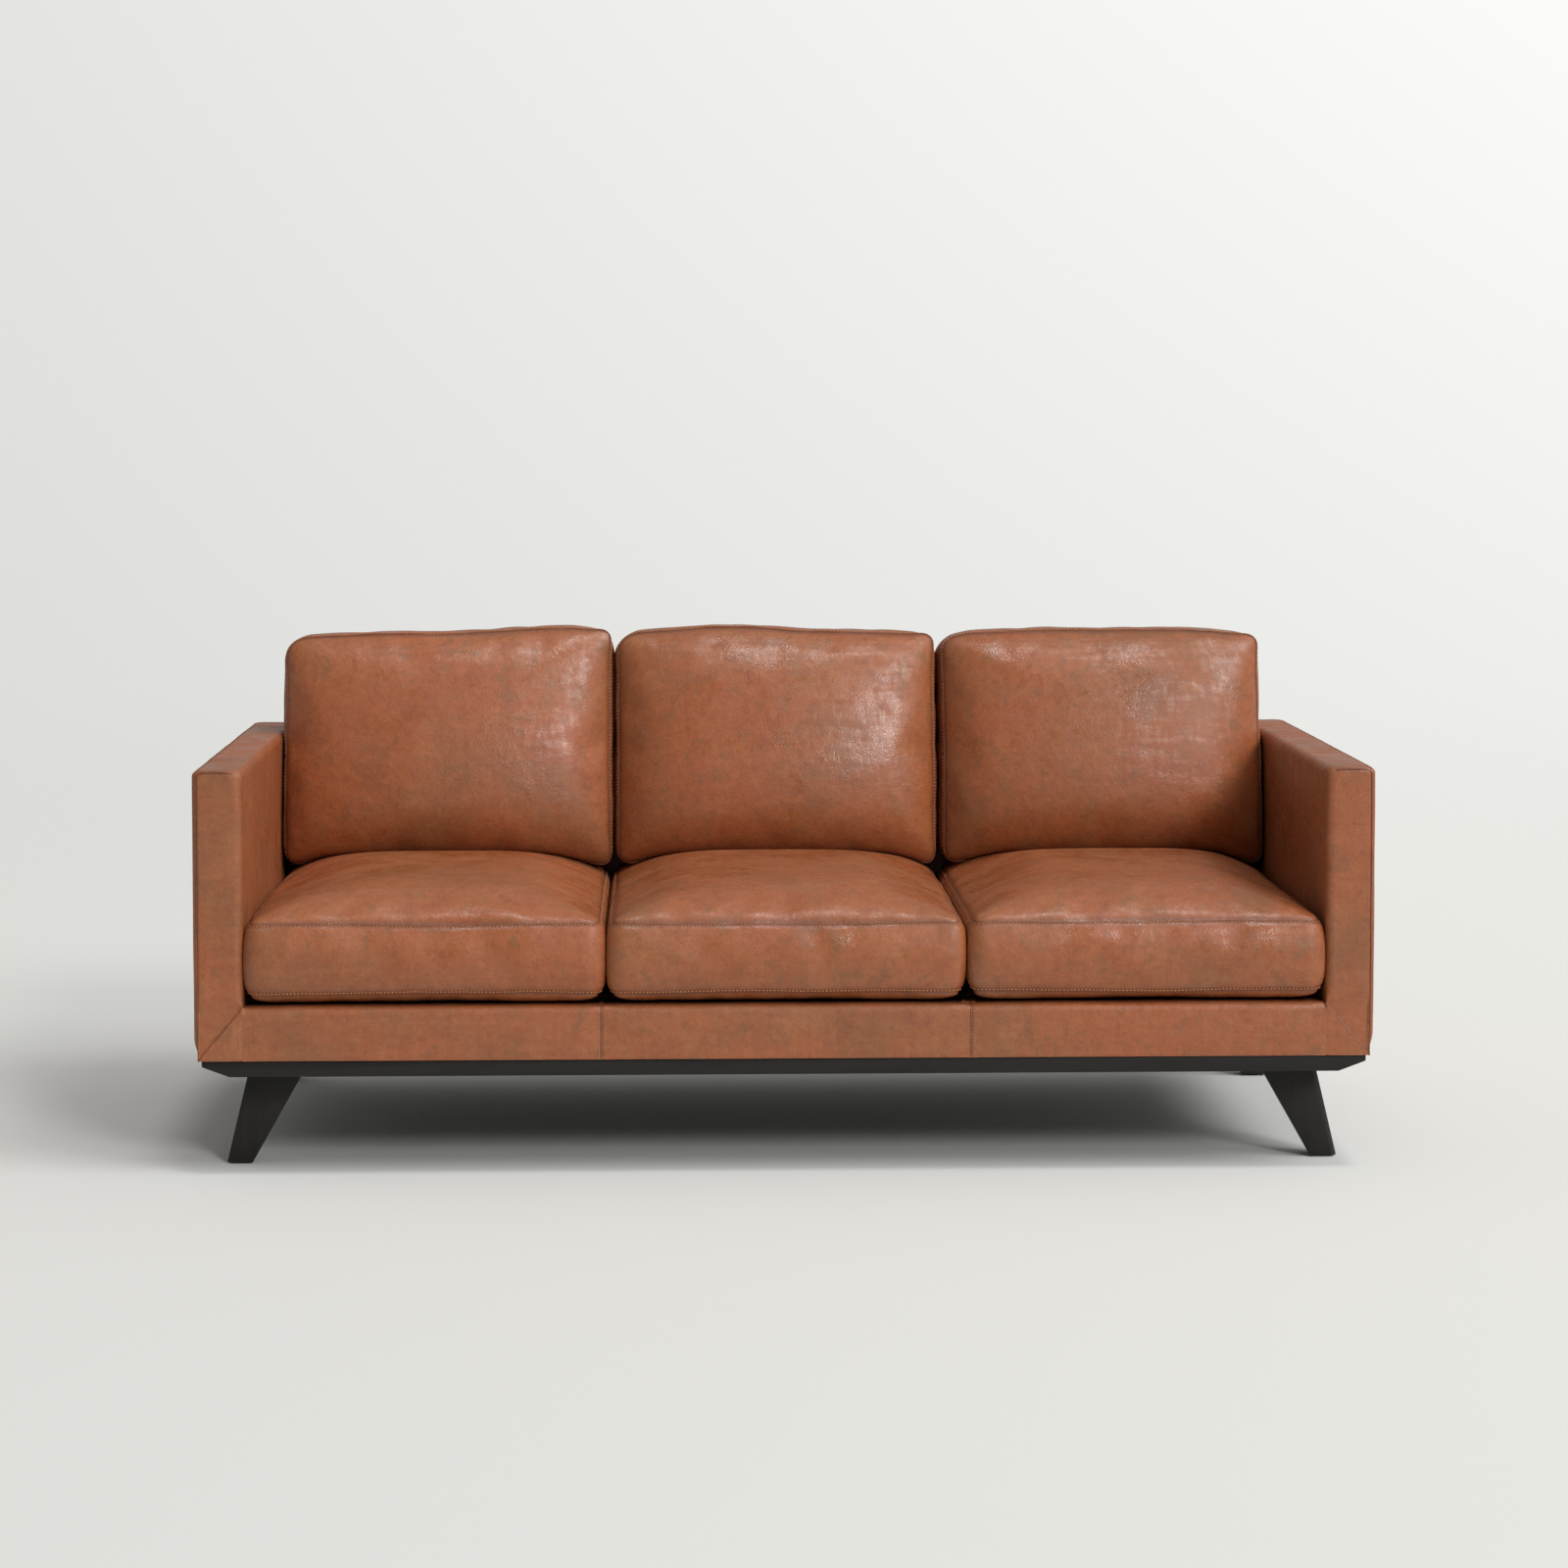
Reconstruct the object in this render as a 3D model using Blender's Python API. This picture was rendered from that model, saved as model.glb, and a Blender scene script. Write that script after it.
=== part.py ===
"""A three-seat leather sofa on a low wooden plinth with four tapered wooden legs.

The upholstered body is a wooden frame with padded leather covers. Sinuous springs span the seat
frame under a deck. Three seat cushions pull out forwards, and three back cushions lift off.
Metres, +Z up, +X towards the viewer's right, +Y towards the back. The origin is on the floor,
under the middle of the sofa. Left and right are as seen from the front.
"""

import math

import bmesh
import bpy
from mathutils import Matrix, Vector

# Overall
WIDTH = 2.028
DEPTH = 0.95
ARM_TOP = 0.700
BODY_BOTTOM = 0.201  # underside of the upholstered body
GAP = 0.0004  # clearance between pieces that touch
FRONT = -DEPTH / 2

# Plinth
PLINTH_THICK = 0.0275
PLINTH_HALF_WIDTH = 1.001
PLINTH_SETBACK = 0.006  # from the front and back of the body
PLINTH_RAIL_WIDE = 0.085
PLINTH_BOARD_WIDE = 0.195
PLINTH_END_FACE = 0.010  # upright part of each end, above the sloping underside
PLINTH_END_SLOPE = 0.047
PLINTH_TOP = BODY_BOTTOM - GAP
PLINTH_BOTTOM = PLINTH_TOP - PLINTH_THICK

# Legs
GLIDE_THICK = 0.002
GLIDE_RADIUS = 0.014
LEG_TOP_INNER, LEG_TOP_OUTER = 0.832, 0.932
LEG_FOOT_INNER, LEG_FOOT_OUTER = 0.9275, 0.9725
FRONT_LEG_SETBACK = 0.120
REAR_LEG_SETBACK = 0.006
LEG_TOP_DEEP, LEG_FOOT_DEEP = 0.068, 0.045
LEG_CHAMFER = 0.008
BOLT_RADIUS = 0.004
BOLT_IN_LEG = 0.026
BOLT_IN_PLINTH = 0.022

# Padded covers
ARM_THICK = 0.084
ARM_PAD = 0.015
ARM_ROUND = 0.012
ARM_INNER = WIDTH / 2 - ARM_THICK
BACK_FOOT = 0.800  # front of the back, measured from the front of the sofa, at seat level
BACK_LEAN = math.radians(9)
BACK_TOP_ROUND = 0.012
BACK_PAD = 0.016
RAIL_TOP = 0.293  # top of the padded front rail
RAIL_COVER_DEEP = 0.075
RAIL_PAD = 0.020
RAIL_TOP_PAD = 0.008

# Seat frame
RAIL_THICK = 0.025
FRAME_TOP = RAIL_TOP - RAIL_TOP_PAD - GAP
STRETCHER_TOP = 0.256
SPRINGS_PER_SEAT = 3
SPRING_PITCH = 0.19
SPRING_WIRE = 0.0019
SPRING_SWING = 0.022
SPRING_WAVES = 13
SPRING_LOW, SPRING_RISE = 0.269, 0.012
SPRING_END = 0.0024  # from each wire's end to the rail
DECK_LOW, DECK_TOP = 0.2862, 0.2965
DUST_COVER_THICK = 0.0012

# Cushions
CUSHION_NAMES = ("left", "middle", "right")
LEATHER = 0.0018
CORE_CLEAR = 0.0035  # from a cushion's outside to its foam core
CORNER_ROUND = 0.035
SEAT_CUSHION_WIDE = (2 * ARM_INNER - 0.008) / 3
SEAT_CUSHION_DEEP = 0.788
SEAT_LOW, SEAT_HIGH = 0.2975, 0.484
SEAT_RINGS = (  # height above the deck side, and how far the outline is set in
    (0.0, 0.050),
    (0.0205, 0.006),
    (0.080, 0.0),
    (0.1385, 0.006),
    (0.170, 0.045),
    (0.1865, 0.110),
)
SEAT_DIP_START = 0.570  # from the front of the sofa, where the seats start to fall to the back
SEAT_DIP_SLOPE = 0.22
BACK_CUSHION_WIDE = 0.604
BACK_CUSHION_TALL = 0.426
BACK_CUSHION_LOW = 0.474
BACK_CUSHION_SAG = 0.15  # how much thicker the cushion is at its foot
BACK_CUSHION_TIP = 0.05  # how far its foot drops towards the front, as a slope
BACK_RINGS = (  # distance from the cushion's rear face, and how far the outline is set in
    (0.0, 0.060),
    (0.028, 0.010),
    (0.095, 0.0),
    (0.165, 0.008),
    (0.188, 0.045),
    (0.200, 0.105),
)
BACK_CUSHION_PITCH = 0.610
ZIP_WIDE = 0.014
ZIP_FROM_CORNERS = 0.03


def material(name, colour, roughness, metallic=0.0):
    made = bpy.data.materials.new(name)
    made.use_nodes = True
    shader = made.node_tree.nodes["Principled BSDF"]
    shader.inputs["Base Color"].default_value = (*colour, 1.0)
    shader.inputs["Roughness"].default_value = roughness
    shader.inputs["Metallic"].default_value = metallic
    return made


def add(name, bm, finish, smooth=False, turn_out=True):
    """A named object from a bmesh, with its faces turned outwards unless they already are."""
    if turn_out:
        bmesh.ops.recalc_face_normals(bm, faces=bm.faces)
    mesh = bpy.data.meshes.new(name)
    bm.to_mesh(mesh)
    bm.free()
    if smooth:
        mesh.shade_smooth()
        mesh.set_sharp_from_angle(angle=math.radians(40))
    obj = bpy.data.objects.new(name, mesh)
    obj.data.materials.append(finish)
    bpy.context.scene.collection.objects.link(obj)
    return obj


def block(low, high):
    """A box between two corners."""
    bm = bmesh.new()
    size = Vector(high) - Vector(low)
    centre = (Vector(high) + Vector(low)) / 2
    bmesh.ops.create_cube(bm, size=1.0, matrix=Matrix.Translation(centre) @ Matrix.Diagonal((*size, 1)))
    return bm


def prism(outline, along, start, end):
    """An outline extruded from start to end along X ("X": points are y, z) or Y ("Y": points are x, z)."""
    bm = bmesh.new()
    if along == "X":
        points = [(start, a, b) for a, b in outline]
        travel = Vector((end - start, 0, 0))
    else:
        points = [(a, start, b) for a, b in outline]
        travel = Vector((0, end - start, 0))
    face = bm.faces.new([bm.verts.new(p) for p in points])
    grown = bmesh.ops.extrude_face_region(bm, geom=[face])["geom"]
    bmesh.ops.translate(bm, verts=[v for v in grown if isinstance(v, bmesh.types.BMVert)], vec=travel)
    return bm


def rod(radius, low, high, x, y, sides=16):
    """An upright cylinder."""
    bm = bmesh.new()
    bmesh.ops.create_cone(
        bm, cap_ends=True, segments=sides, radius1=radius, radius2=radius, depth=high - low,
        matrix=Matrix.Translation((x, y, (low + high) / 2)),
    )
    return bm


def cutter(name, bm):
    """A hidden helper that a Boolean cuts with."""
    obj = add(name, bm, None)
    obj.hide_render = True
    obj.display_type = "WIRE"
    return obj


def cut(obj, tool):
    boolean = obj.modifiers.new("cut", "BOOLEAN")
    boolean.operation = "DIFFERENCE"
    boolean.solver = "EXACT"
    boolean.object = tool


def edges_where(bm, test):
    """The edges whose two ends both pass the test."""
    return [e for e in bm.edges if all(test(v.co) for v in e.verts)]


def plinth(wood):
    """Two long rails with bevelled ends and two wide end boards between them.

    Returns the piece that carries each leg.
    """
    outline = [
        (-PLINTH_HALF_WIDTH, PLINTH_TOP),
        (-PLINTH_HALF_WIDTH, PLINTH_TOP - PLINTH_END_FACE),
        (-PLINTH_HALF_WIDTH + PLINTH_END_SLOPE, PLINTH_BOTTOM),
        (PLINTH_HALF_WIDTH - PLINTH_END_SLOPE, PLINTH_BOTTOM),
        (PLINTH_HALF_WIDTH, PLINTH_TOP - PLINTH_END_FACE),
        (PLINTH_HALF_WIDTH, PLINTH_TOP),
    ]
    front = FRONT + PLINTH_SETBACK
    add("front_plinth_rail", prism(outline, "Y", front, front + PLINTH_RAIL_WIDE), wood)
    rear = add("rear_plinth_rail", prism(outline, "Y", -front - PLINTH_RAIL_WIDE, -front), wood)
    inner = PLINTH_HALF_WIDTH - PLINTH_BOARD_WIDE
    run = -front - PLINTH_RAIL_WIDE - GAP
    carriers = {"rear_left": rear, "rear_right": rear}
    for side, name in ((-1, "left"), (1, "right")):
        section = [(side * x, z) for x, z in ((inner, PLINTH_TOP), (inner, PLINTH_BOTTOM))]
        section += [(side * abs(x), z) for x, z in outline[3:]]
        carriers[f"front_{name}"] = add(f"{name}_plinth_board", prism(section, "Y", -run, run), wood)
    return carriers


def leg_body(side, row):
    """A leg that tapers and leans outwards, with its two outer edges chamfered."""
    if row == "front":
        outer_y, inward = FRONT + FRONT_LEG_SETBACK, 1
    else:
        outer_y, inward = -FRONT - REAR_LEG_SETBACK, -1
    low, high = GLIDE_THICK + GAP, PLINTH_BOTTOM - GAP
    bm = block((LEG_FOOT_INNER, -1, low), (LEG_FOOT_OUTER, 1, high))
    for v in bm.verts:
        top = v.co.z > (low + high) / 2
        deep = LEG_TOP_DEEP if top else LEG_FOOT_DEEP
        if top:
            v.co.x = LEG_TOP_OUTER if v.co.x > (LEG_FOOT_INNER + LEG_FOOT_OUTER) / 2 else LEG_TOP_INNER
        v.co.y = outer_y if v.co.y < 0 else outer_y + inward * deep
    outer = [
        e for e in bm.edges
        if abs(e.verts[0].co.z - e.verts[1].co.z) > 0.1 and max(v.co.x for v in e.verts) > LEG_FOOT_OUTER - GAP
    ]
    bmesh.ops.bevel(bm, geom=outer, offset=LEG_CHAMFER, segments=1, profile=0.5, affect="EDGES")
    if side < 0:
        bmesh.ops.scale(bm, vec=(-1, 1, 1), verts=bm.verts)
    foot_y = outer_y + inward * LEG_FOOT_DEEP / 2
    return bm, side * (LEG_FOOT_INNER + LEG_FOOT_OUTER) / 2, foot_y


def legs(carriers, wood, steel, nylon):
    for row in ("front", "rear"):
        for side, name in ((-1, "left"), (1, "right")):
            corner = f"{row}_{name}"
            bm, foot_x, foot_y = leg_body(side, row)
            leg = add(f"{corner}_leg", bm, wood)
            bolt_x = side * (LEG_TOP_INNER + LEG_TOP_OUTER) / 2
            low, high = PLINTH_BOTTOM - BOLT_IN_LEG, PLINTH_BOTTOM + BOLT_IN_PLINTH
            hole = cutter(
                f"{corner}_bolt_hole",
                rod(BOLT_RADIUS + GAP, low - GAP, PLINTH_TOP + 0.01, bolt_x, foot_y),
            )
            cut(leg, hole)
            cut(carriers[corner], hole)
            add(f"{corner}_leg_bolt", rod(BOLT_RADIUS, low, high, bolt_x, foot_y), steel, smooth=True)
            add(f"{corner}_glide", rod(GLIDE_RADIUS, 0, GLIDE_THICK, foot_x, foot_y, 24), nylon, smooth=True)


def arms(leather, timber):
    """Each arm is a timber frame under a padded leather cover that is open below."""
    for side, name in ((-1, "left"), (1, "right")):
        xs = sorted((side * ARM_INNER, side * WIDTH / 2))
        bm = block((xs[0], FRONT, BODY_BOTTOM), (xs[1], -FRONT, ARM_TOP))
        rounded = edges_where(bm, lambda p: p.z > BODY_BOTTOM + GAP)
        rounded += [e for e in bm.edges if abs(e.verts[0].co.z - e.verts[1].co.z) > 0.1]
        bmesh.ops.bevel(bm, geom=rounded, offset=ARM_ROUND, segments=2, profile=0.5, affect="EDGES")
        cover = add(f"{name}_arm_cover", bm, leather, smooth=True)
        low = (xs[0] + ARM_PAD, FRONT + ARM_PAD, BODY_BOTTOM)
        high = (xs[1] - ARM_PAD, -FRONT - ARM_PAD, ARM_TOP - ARM_PAD)
        room = Vector((GAP, GAP, GAP))
        pocket_low = Vector(low) - room - Vector((0, 0, 0.02))
        cut(cover, cutter(f"{name}_arm_pocket", block(pocket_low, Vector(high) + room)))
        add(f"{name}_arm_frame", block(low, high), timber)


def back_outline(inset):
    """Side view of the back (y, z): upright behind, leaning in front, set in all round by inset."""
    rear = -FRONT - 0.002 - inset
    top = ARM_TOP - 0.001 - inset
    foot = FRONT + BACK_FOOT + inset
    return [
        (foot, BODY_BOTTOM),
        (foot, RAIL_TOP),
        (foot + (top - RAIL_TOP) * math.tan(BACK_LEAN), top),
        (rear, top),
        (rear, BODY_BOTTOM),
    ]


def back(leather, timber):
    """The back is a timber frame under a padded cover that is open below."""
    half = ARM_INNER - GAP
    bm = prism(back_outline(0), "X", -half, half)
    top = edges_where(bm, lambda p: p.z > ARM_TOP - 0.005)
    bmesh.ops.bevel(
        bm, geom=[e for e in top if abs(e.verts[0].co.x - e.verts[1].co.x) > 0.1],
        offset=BACK_TOP_ROUND, segments=2, profile=0.5, affect="EDGES",
    )
    cover = add("back_cover", bm, leather, smooth=True)
    inner = [(y, z - 0.02 if z == BODY_BOTTOM else z) for y, z in back_outline(BACK_PAD - GAP)]
    reach = half - BACK_PAD
    cut(cover, cutter("back_pocket", prism(inner, "X", -reach - GAP, reach + GAP)))
    add("back_frame", prism(back_outline(BACK_PAD), "X", -reach, reach), timber)


def seat_frame(leather, timber, steel, deck_cloth, black_cloth):
    """Rails, stretchers, sinuous springs, the deck above them and the dust cover below."""
    half = ARM_INNER - GAP
    rail_front = FRONT + RAIL_PAD + GAP
    rail_rear = rail_front + RAIL_THICK
    low = BODY_BOTTOM + GAP
    cover_outline = [
        (FRONT, BODY_BOTTOM),
        (FRONT, RAIL_TOP),
        (FRONT + RAIL_COVER_DEEP, RAIL_TOP),
        (FRONT + RAIL_COVER_DEEP, RAIL_TOP - RAIL_TOP_PAD),
        (FRONT + RAIL_PAD, RAIL_TOP - RAIL_TOP_PAD),
        (FRONT + RAIL_PAD, BODY_BOTTOM),
    ]
    bm = prism(cover_outline, "X", -half, half)
    front_edge = edges_where(bm, lambda p: p.z > RAIL_TOP - GAP and p.y < FRONT + GAP)
    bmesh.ops.bevel(bm, geom=front_edge, offset=0.010, segments=2, profile=0.5, affect="EDGES")
    add("front_rail_cover", bm, leather, smooth=True)
    add("front_seat_rail", block((-half, rail_front, low), (half, rail_rear, FRAME_TOP)), timber)
    back_rail_rear = FRONT + BACK_FOOT - GAP
    back_rail_front = back_rail_rear - RAIL_THICK
    add("rear_seat_rail", block((-half, back_rail_front, low), (half, back_rail_rear, FRAME_TOP)), timber)
    for side, name in ((-1, "left"), (1, "right")):
        xs = sorted((side * half, side * (half - RAIL_THICK)))
        ends = (rail_rear + GAP, back_rail_front - GAP)
        add(f"{name}_seat_rail", block((xs[0], ends[0], low), (xs[1], ends[1], FRAME_TOP)), timber)
        x = side * SEAT_CUSHION_WIDE / 2
        brace = block((x - RAIL_THICK / 2, ends[0], low), (x + RAIL_THICK / 2, ends[1], STRETCHER_TOP))
        add(f"{name}_stretcher", brace, timber)
    for seat, seat_name in enumerate(CUSHION_NAMES):
        for n in range(SPRINGS_PER_SEAT):
            x = (seat - 1) * SEAT_CUSHION_WIDE + (n - (SPRINGS_PER_SEAT - 1) / 2) * SPRING_PITCH
            ends = (rail_rear + SPRING_END, back_rail_front - SPRING_END)
            spring(f"{seat_name}_seat_spring_{n + 1}", x, *ends, steel)
    deck_front = FRONT + RAIL_COVER_DEEP + GAP
    deck_rear = FRONT + BACK_FOOT - GAP
    add("seat_deck", block((-half, deck_front, DECK_LOW), (half, deck_rear, DECK_TOP)), deck_cloth)
    sheet_x = PLINTH_HALF_WIDTH - PLINTH_BOARD_WIDE - 2 * GAP
    sheet_y = -FRONT - PLINTH_SETBACK - PLINTH_RAIL_WIDE - 2 * GAP
    sheet_top = BODY_BOTTOM - GAP
    sheet = block((-sheet_x, -sheet_y, sheet_top - DUST_COVER_THICK), (sheet_x, sheet_y, sheet_top))
    add("dust_cover", sheet, black_cloth)


def spring(name, x, start, end, steel):
    """A zigzag spring wire from the front rail to the rear rail, arched upwards."""
    curve = bpy.data.curves.new(name, "CURVE")
    curve.dimensions = "3D"
    curve.bevel_depth = SPRING_WIRE
    curve.bevel_resolution = 0
    curve.use_fill_caps = True
    path = curve.splines.new("POLY")
    steps = SPRING_WAVES * 4
    path.points.add(steps)
    for i, point in enumerate(path.points):
        t = i / steps
        swing = SPRING_SWING * math.sin(2 * math.pi * SPRING_WAVES * t)
        height = SPRING_LOW + SPRING_RISE * math.sin(math.pi * t)
        point.co = (x + swing, start + (end - start) * t, height, 1)
    obj = bpy.data.objects.new(name, curve)
    obj.data.materials.append(steel)
    bpy.context.scene.collection.objects.link(obj)


def pillow(half_x, half_y, rings, shrink=0.0):
    """A cushion lying flat: a round-cornered outline raised in rings, each set in as given.

    It stands on z = 0. A positive shrink gives the same form smaller all round.
    """
    bm = bmesh.new()
    bmesh.ops.create_grid(bm, x_segments=1, y_segments=1, size=1.0)
    middle = rings[-1][0] / 2
    heights = [middle + (height - middle) * (1 - shrink / middle) for height, inset in rings]
    insets = [inset + shrink for height, inset in rings]
    sizes = [(half_x - inset, half_y - inset) for inset in insets]
    bmesh.ops.scale(bm, vec=(*sizes[0], 1), verts=bm.verts)
    bmesh.ops.translate(bm, vec=(0, 0, heights[0]), verts=bm.verts)
    bmesh.ops.bevel(bm, geom=bm.verts[:], offset=CORNER_ROUND, segments=3, profile=0.5, affect="VERTICES")
    face = bm.faces[:][0]
    for i in range(1, len(rings)):
        around = [face, *face.edges] if i > 1 else [face]
        grown = bmesh.ops.extrude_face_region(bm, geom=around)["geom"]
        verts = [g for g in grown if isinstance(g, bmesh.types.BMVert)]
        face = next(g for g in grown if isinstance(g, bmesh.types.BMFace))
        ratio = (sizes[i][0] / sizes[i - 1][0], sizes[i][1] / sizes[i - 1][1], 1)
        bmesh.ops.scale(bm, vec=ratio, verts=verts)
        bmesh.ops.translate(bm, vec=(0, 0, heights[i] - heights[i - 1]), verts=verts)
    bmesh.ops.recalc_face_normals(bm, faces=bm.faces)
    return bm


def zip_face(bm, side):
    """The narrow face along one long side of a cushion's band where its zip is sewn in."""

    def on_side():
        bm.normal_update()
        return [f for f in bm.faces if f.normal.y * side > 0.9]

    band = max(on_side(), key=lambda f: f.calc_area())
    heights = [v.co.z for v in band.verts]
    middle = (min(heights) + max(heights)) / 2
    reach = max(v.co.x for v in band.verts) - ZIP_FROM_CORNERS
    centre = Vector((0, band.calc_center_median().y, middle))
    cuts = [((0, 0, middle + way * ZIP_WIDE / 2), (0, 0, 1)) for way in (-1, 1)]
    cuts += [((way * reach, 0, 0), (1, 0, 0)) for way in (-1, 1)]
    for point, normal in cuts:
        geom = [band, *band.edges, *band.verts]
        bmesh.ops.bisect_plane(bm, geom=geom, plane_co=point, plane_no=normal, dist=1e-6)
        band = min(on_side(), key=lambda f: (f.calc_center_median() - centre).length)
    return band


def cushion(name, shapes, zip_side, place, finishes):
    """A leather cover with a zipped opening in its band, the zip that closes it, and a foam core.

    shapes builds the outer form, or with a shrink a smaller one inside it; place moves a point into place.
    """
    leather, foam, zip_finish = finishes
    bm = shapes()
    opening = zip_face(bm, zip_side)
    strip = bmesh.new()
    shrunk = Matrix.Diagonal((1 - 0.002, 1, 1 - 2 * GAP / ZIP_WIDE))
    centre = opening.calc_center_median()
    strip.faces.new([strip.verts.new(centre + shrunk @ (v.co - centre)) for v in opening.verts])
    bmesh.ops.delete(bm, geom=[opening], context="FACES_ONLY")
    core = shapes(CORE_CLEAR)
    for form in (bm, strip, core):
        for v in form.verts:
            v.co = place(v.co)
    cover = add(f"{name}_cover", bm, leather, smooth=True)
    zip_strip = add(f"{name}_zip", strip, zip_finish, turn_out=False)
    for obj, thick in ((cover, LEATHER), (zip_strip, LEATHER * 0.8)):
        skin = obj.modifiers.new("thickness", "SOLIDIFY")
        skin.thickness = thick
        skin.offset = -1
        skin.use_even_offset = True
    add(f"{name}_core", core, foam, smooth=True)


def seat_form(shrink=0.0):
    """A seat cushion that lies flat and falls away where the back cushion rests on it."""
    bm = pillow(SEAT_CUSHION_WIDE / 2, SEAT_CUSHION_DEEP / 2, SEAT_RINGS, shrink)
    start = SEAT_DIP_START - SEAT_CUSHION_DEEP / 2
    bmesh.ops.bisect_plane(
        bm, geom=[*bm.verts, *bm.edges, *bm.faces], plane_co=(0, start, 0), plane_no=(0, 1, 0), dist=1e-6
    )
    top_seam = SEAT_RINGS[3][0] - 2 * CORE_CLEAR
    for v in bm.verts:
        if v.co.z > top_seam and v.co.y > start:
            v.co.z -= (v.co.y - start) * SEAT_DIP_SLOPE
    return bm


def back_form(shrink=0.0):
    """A back cushion, lying on its rear face."""
    return pillow(BACK_CUSHION_WIDE / 2, BACK_CUSHION_TALL / 2, BACK_RINGS, shrink)


def cushions(leather, foam, zip_finish):
    finishes = (leather, foam, zip_finish)
    seat_y = FRONT + 0.001 + SEAT_CUSHION_DEEP / 2
    foot = FRONT + BACK_FOOT + (BACK_CUSHION_LOW - RAIL_TOP) * math.tan(BACK_LEAN) - 0.0015
    for n, side in enumerate(CUSHION_NAMES):
        seat_x = (n - 1) * (SEAT_CUSHION_WIDE + 0.003)
        back_x = (n - 1) * BACK_CUSHION_PITCH

        def lay(p, x=seat_x):
            return p + Vector((x, seat_y, SEAT_LOW))

        def stand(p, x=back_x):
            up = p.y + BACK_CUSHION_TALL / 2
            forward = p.z * (1 + BACK_CUSHION_SAG * (1 - up / BACK_CUSHION_TALL))
            return Vector((
                x + p.x,
                foot + up * math.sin(BACK_LEAN) - forward * math.cos(BACK_LEAN),
                BACK_CUSHION_LOW + up * math.cos(BACK_LEAN) - forward * BACK_CUSHION_TIP,
            ))

        cushion(f"seat_cushion_{side}", seat_form, 1, lay, finishes)
        cushion(f"back_cushion_{side}", back_form, -1, stand, finishes)


def main():
    for obj in list(bpy.data.objects):
        bpy.data.objects.remove(obj, do_unlink=True)
    leather = material("tan_leather", (0.32, 0.115, 0.05), 0.45)
    dark_wood = material("dark_wood", (0.022, 0.019, 0.018), 0.5)
    timber = material("frame_timber", (0.58, 0.42, 0.26), 0.7)
    foam = material("foam", (0.80, 0.76, 0.62), 0.95)
    steel = material("spring_steel", (0.42, 0.42, 0.43), 0.35, 1.0)
    nylon = material("black_nylon", (0.02, 0.02, 0.02), 0.6)
    zip_finish = material("brown_zip", (0.10, 0.045, 0.025), 0.5)
    deck_cloth = material("deck_cloth", (0.10, 0.055, 0.035), 0.95)
    black_cloth = material("black_cloth", (0.015, 0.015, 0.015), 0.95)
    legs(plinth(dark_wood), dark_wood, steel, nylon)
    arms(leather, timber)
    back(leather, timber)
    seat_frame(leather, timber, steel, deck_cloth, black_cloth)
    cushions(leather, foam, zip_finish)


main()
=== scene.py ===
import math
import bmesh
import bpy
import numpy as np
from mathutils import Matrix, Vector, noise
from mathutils.bvhtree import BVHTree
from mathutils.kdtree import KDTree


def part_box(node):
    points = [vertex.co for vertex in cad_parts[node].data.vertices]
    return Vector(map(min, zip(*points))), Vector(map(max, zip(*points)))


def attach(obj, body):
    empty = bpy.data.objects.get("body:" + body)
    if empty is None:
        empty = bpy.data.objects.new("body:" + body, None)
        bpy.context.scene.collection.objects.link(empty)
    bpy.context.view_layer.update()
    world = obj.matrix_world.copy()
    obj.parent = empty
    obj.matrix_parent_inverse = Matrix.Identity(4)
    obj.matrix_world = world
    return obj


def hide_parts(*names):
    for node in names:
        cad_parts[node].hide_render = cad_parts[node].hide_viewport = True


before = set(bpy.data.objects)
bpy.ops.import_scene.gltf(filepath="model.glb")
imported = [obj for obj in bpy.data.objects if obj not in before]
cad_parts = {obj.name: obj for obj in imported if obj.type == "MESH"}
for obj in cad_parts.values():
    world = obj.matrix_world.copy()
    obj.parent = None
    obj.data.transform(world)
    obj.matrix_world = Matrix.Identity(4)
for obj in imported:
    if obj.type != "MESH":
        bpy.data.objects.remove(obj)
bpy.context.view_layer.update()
front, rear = -0.475, 0.475  # the sofa's front and rear planes

camera = {
    "place": (-0.207, -6.807, 1.340),
    "turn": math.radians(1.83),  # towards the right
    "tilt": math.radians(2.98),  # down
    "lens": 85.4,
    "shift": -0.125,
}


def makeCamera(c):
    data = bpy.data.cameras.new("camera")
    data.lens, data.sensor_width, data.shift_y = c["lens"], 36.0, c["shift"]
    data.clip_start, data.clip_end = 0.1, 200
    obj = bpy.data.objects.new("camera", data)
    obj.location = c["place"]
    obj.rotation_euler = (math.pi / 2 - c["tilt"], 0, -c["turn"])
    bpy.context.scene.collection.objects.link(obj)
    bpy.context.scene.camera = obj


makeCamera(camera)
print("camera placed")


# a shader socket that takes part in plain expressions
class Wire:
    def __init__(self, tree, socket):
        self.tree, self.socket = tree, socket

    def maths(self, operation, first, second, clamp=False):
        node = self.tree.nodes.new("ShaderNodeMath")
        node.operation, node.use_clamp = operation, clamp
        for place, value in zip(node.inputs, (first, second)):
            if isinstance(value, Wire):
                self.tree.links.new(value.socket, place)
            else:
                place.default_value = value
        return Wire(self.tree, node.outputs[0])

    def __add__(self, other):
        return self.maths("ADD", self, other)

    __radd__ = __add__

    def __mul__(self, other):
        return self.maths("MULTIPLY", self, other)

    __rmul__ = __mul__

    def __sub__(self, other):
        return self.maths("SUBTRACT", self, other)

    def __rsub__(self, other):
        return self.maths("SUBTRACT", other, self)

    def clamped(self):
        return self.maths("ADD", self, 0.0, clamp=True)

    def least(self, other):
        return self.maths("MINIMUM", self, other)

    def most(self, other):
        return self.maths("MAXIMUM", self, other)


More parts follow.
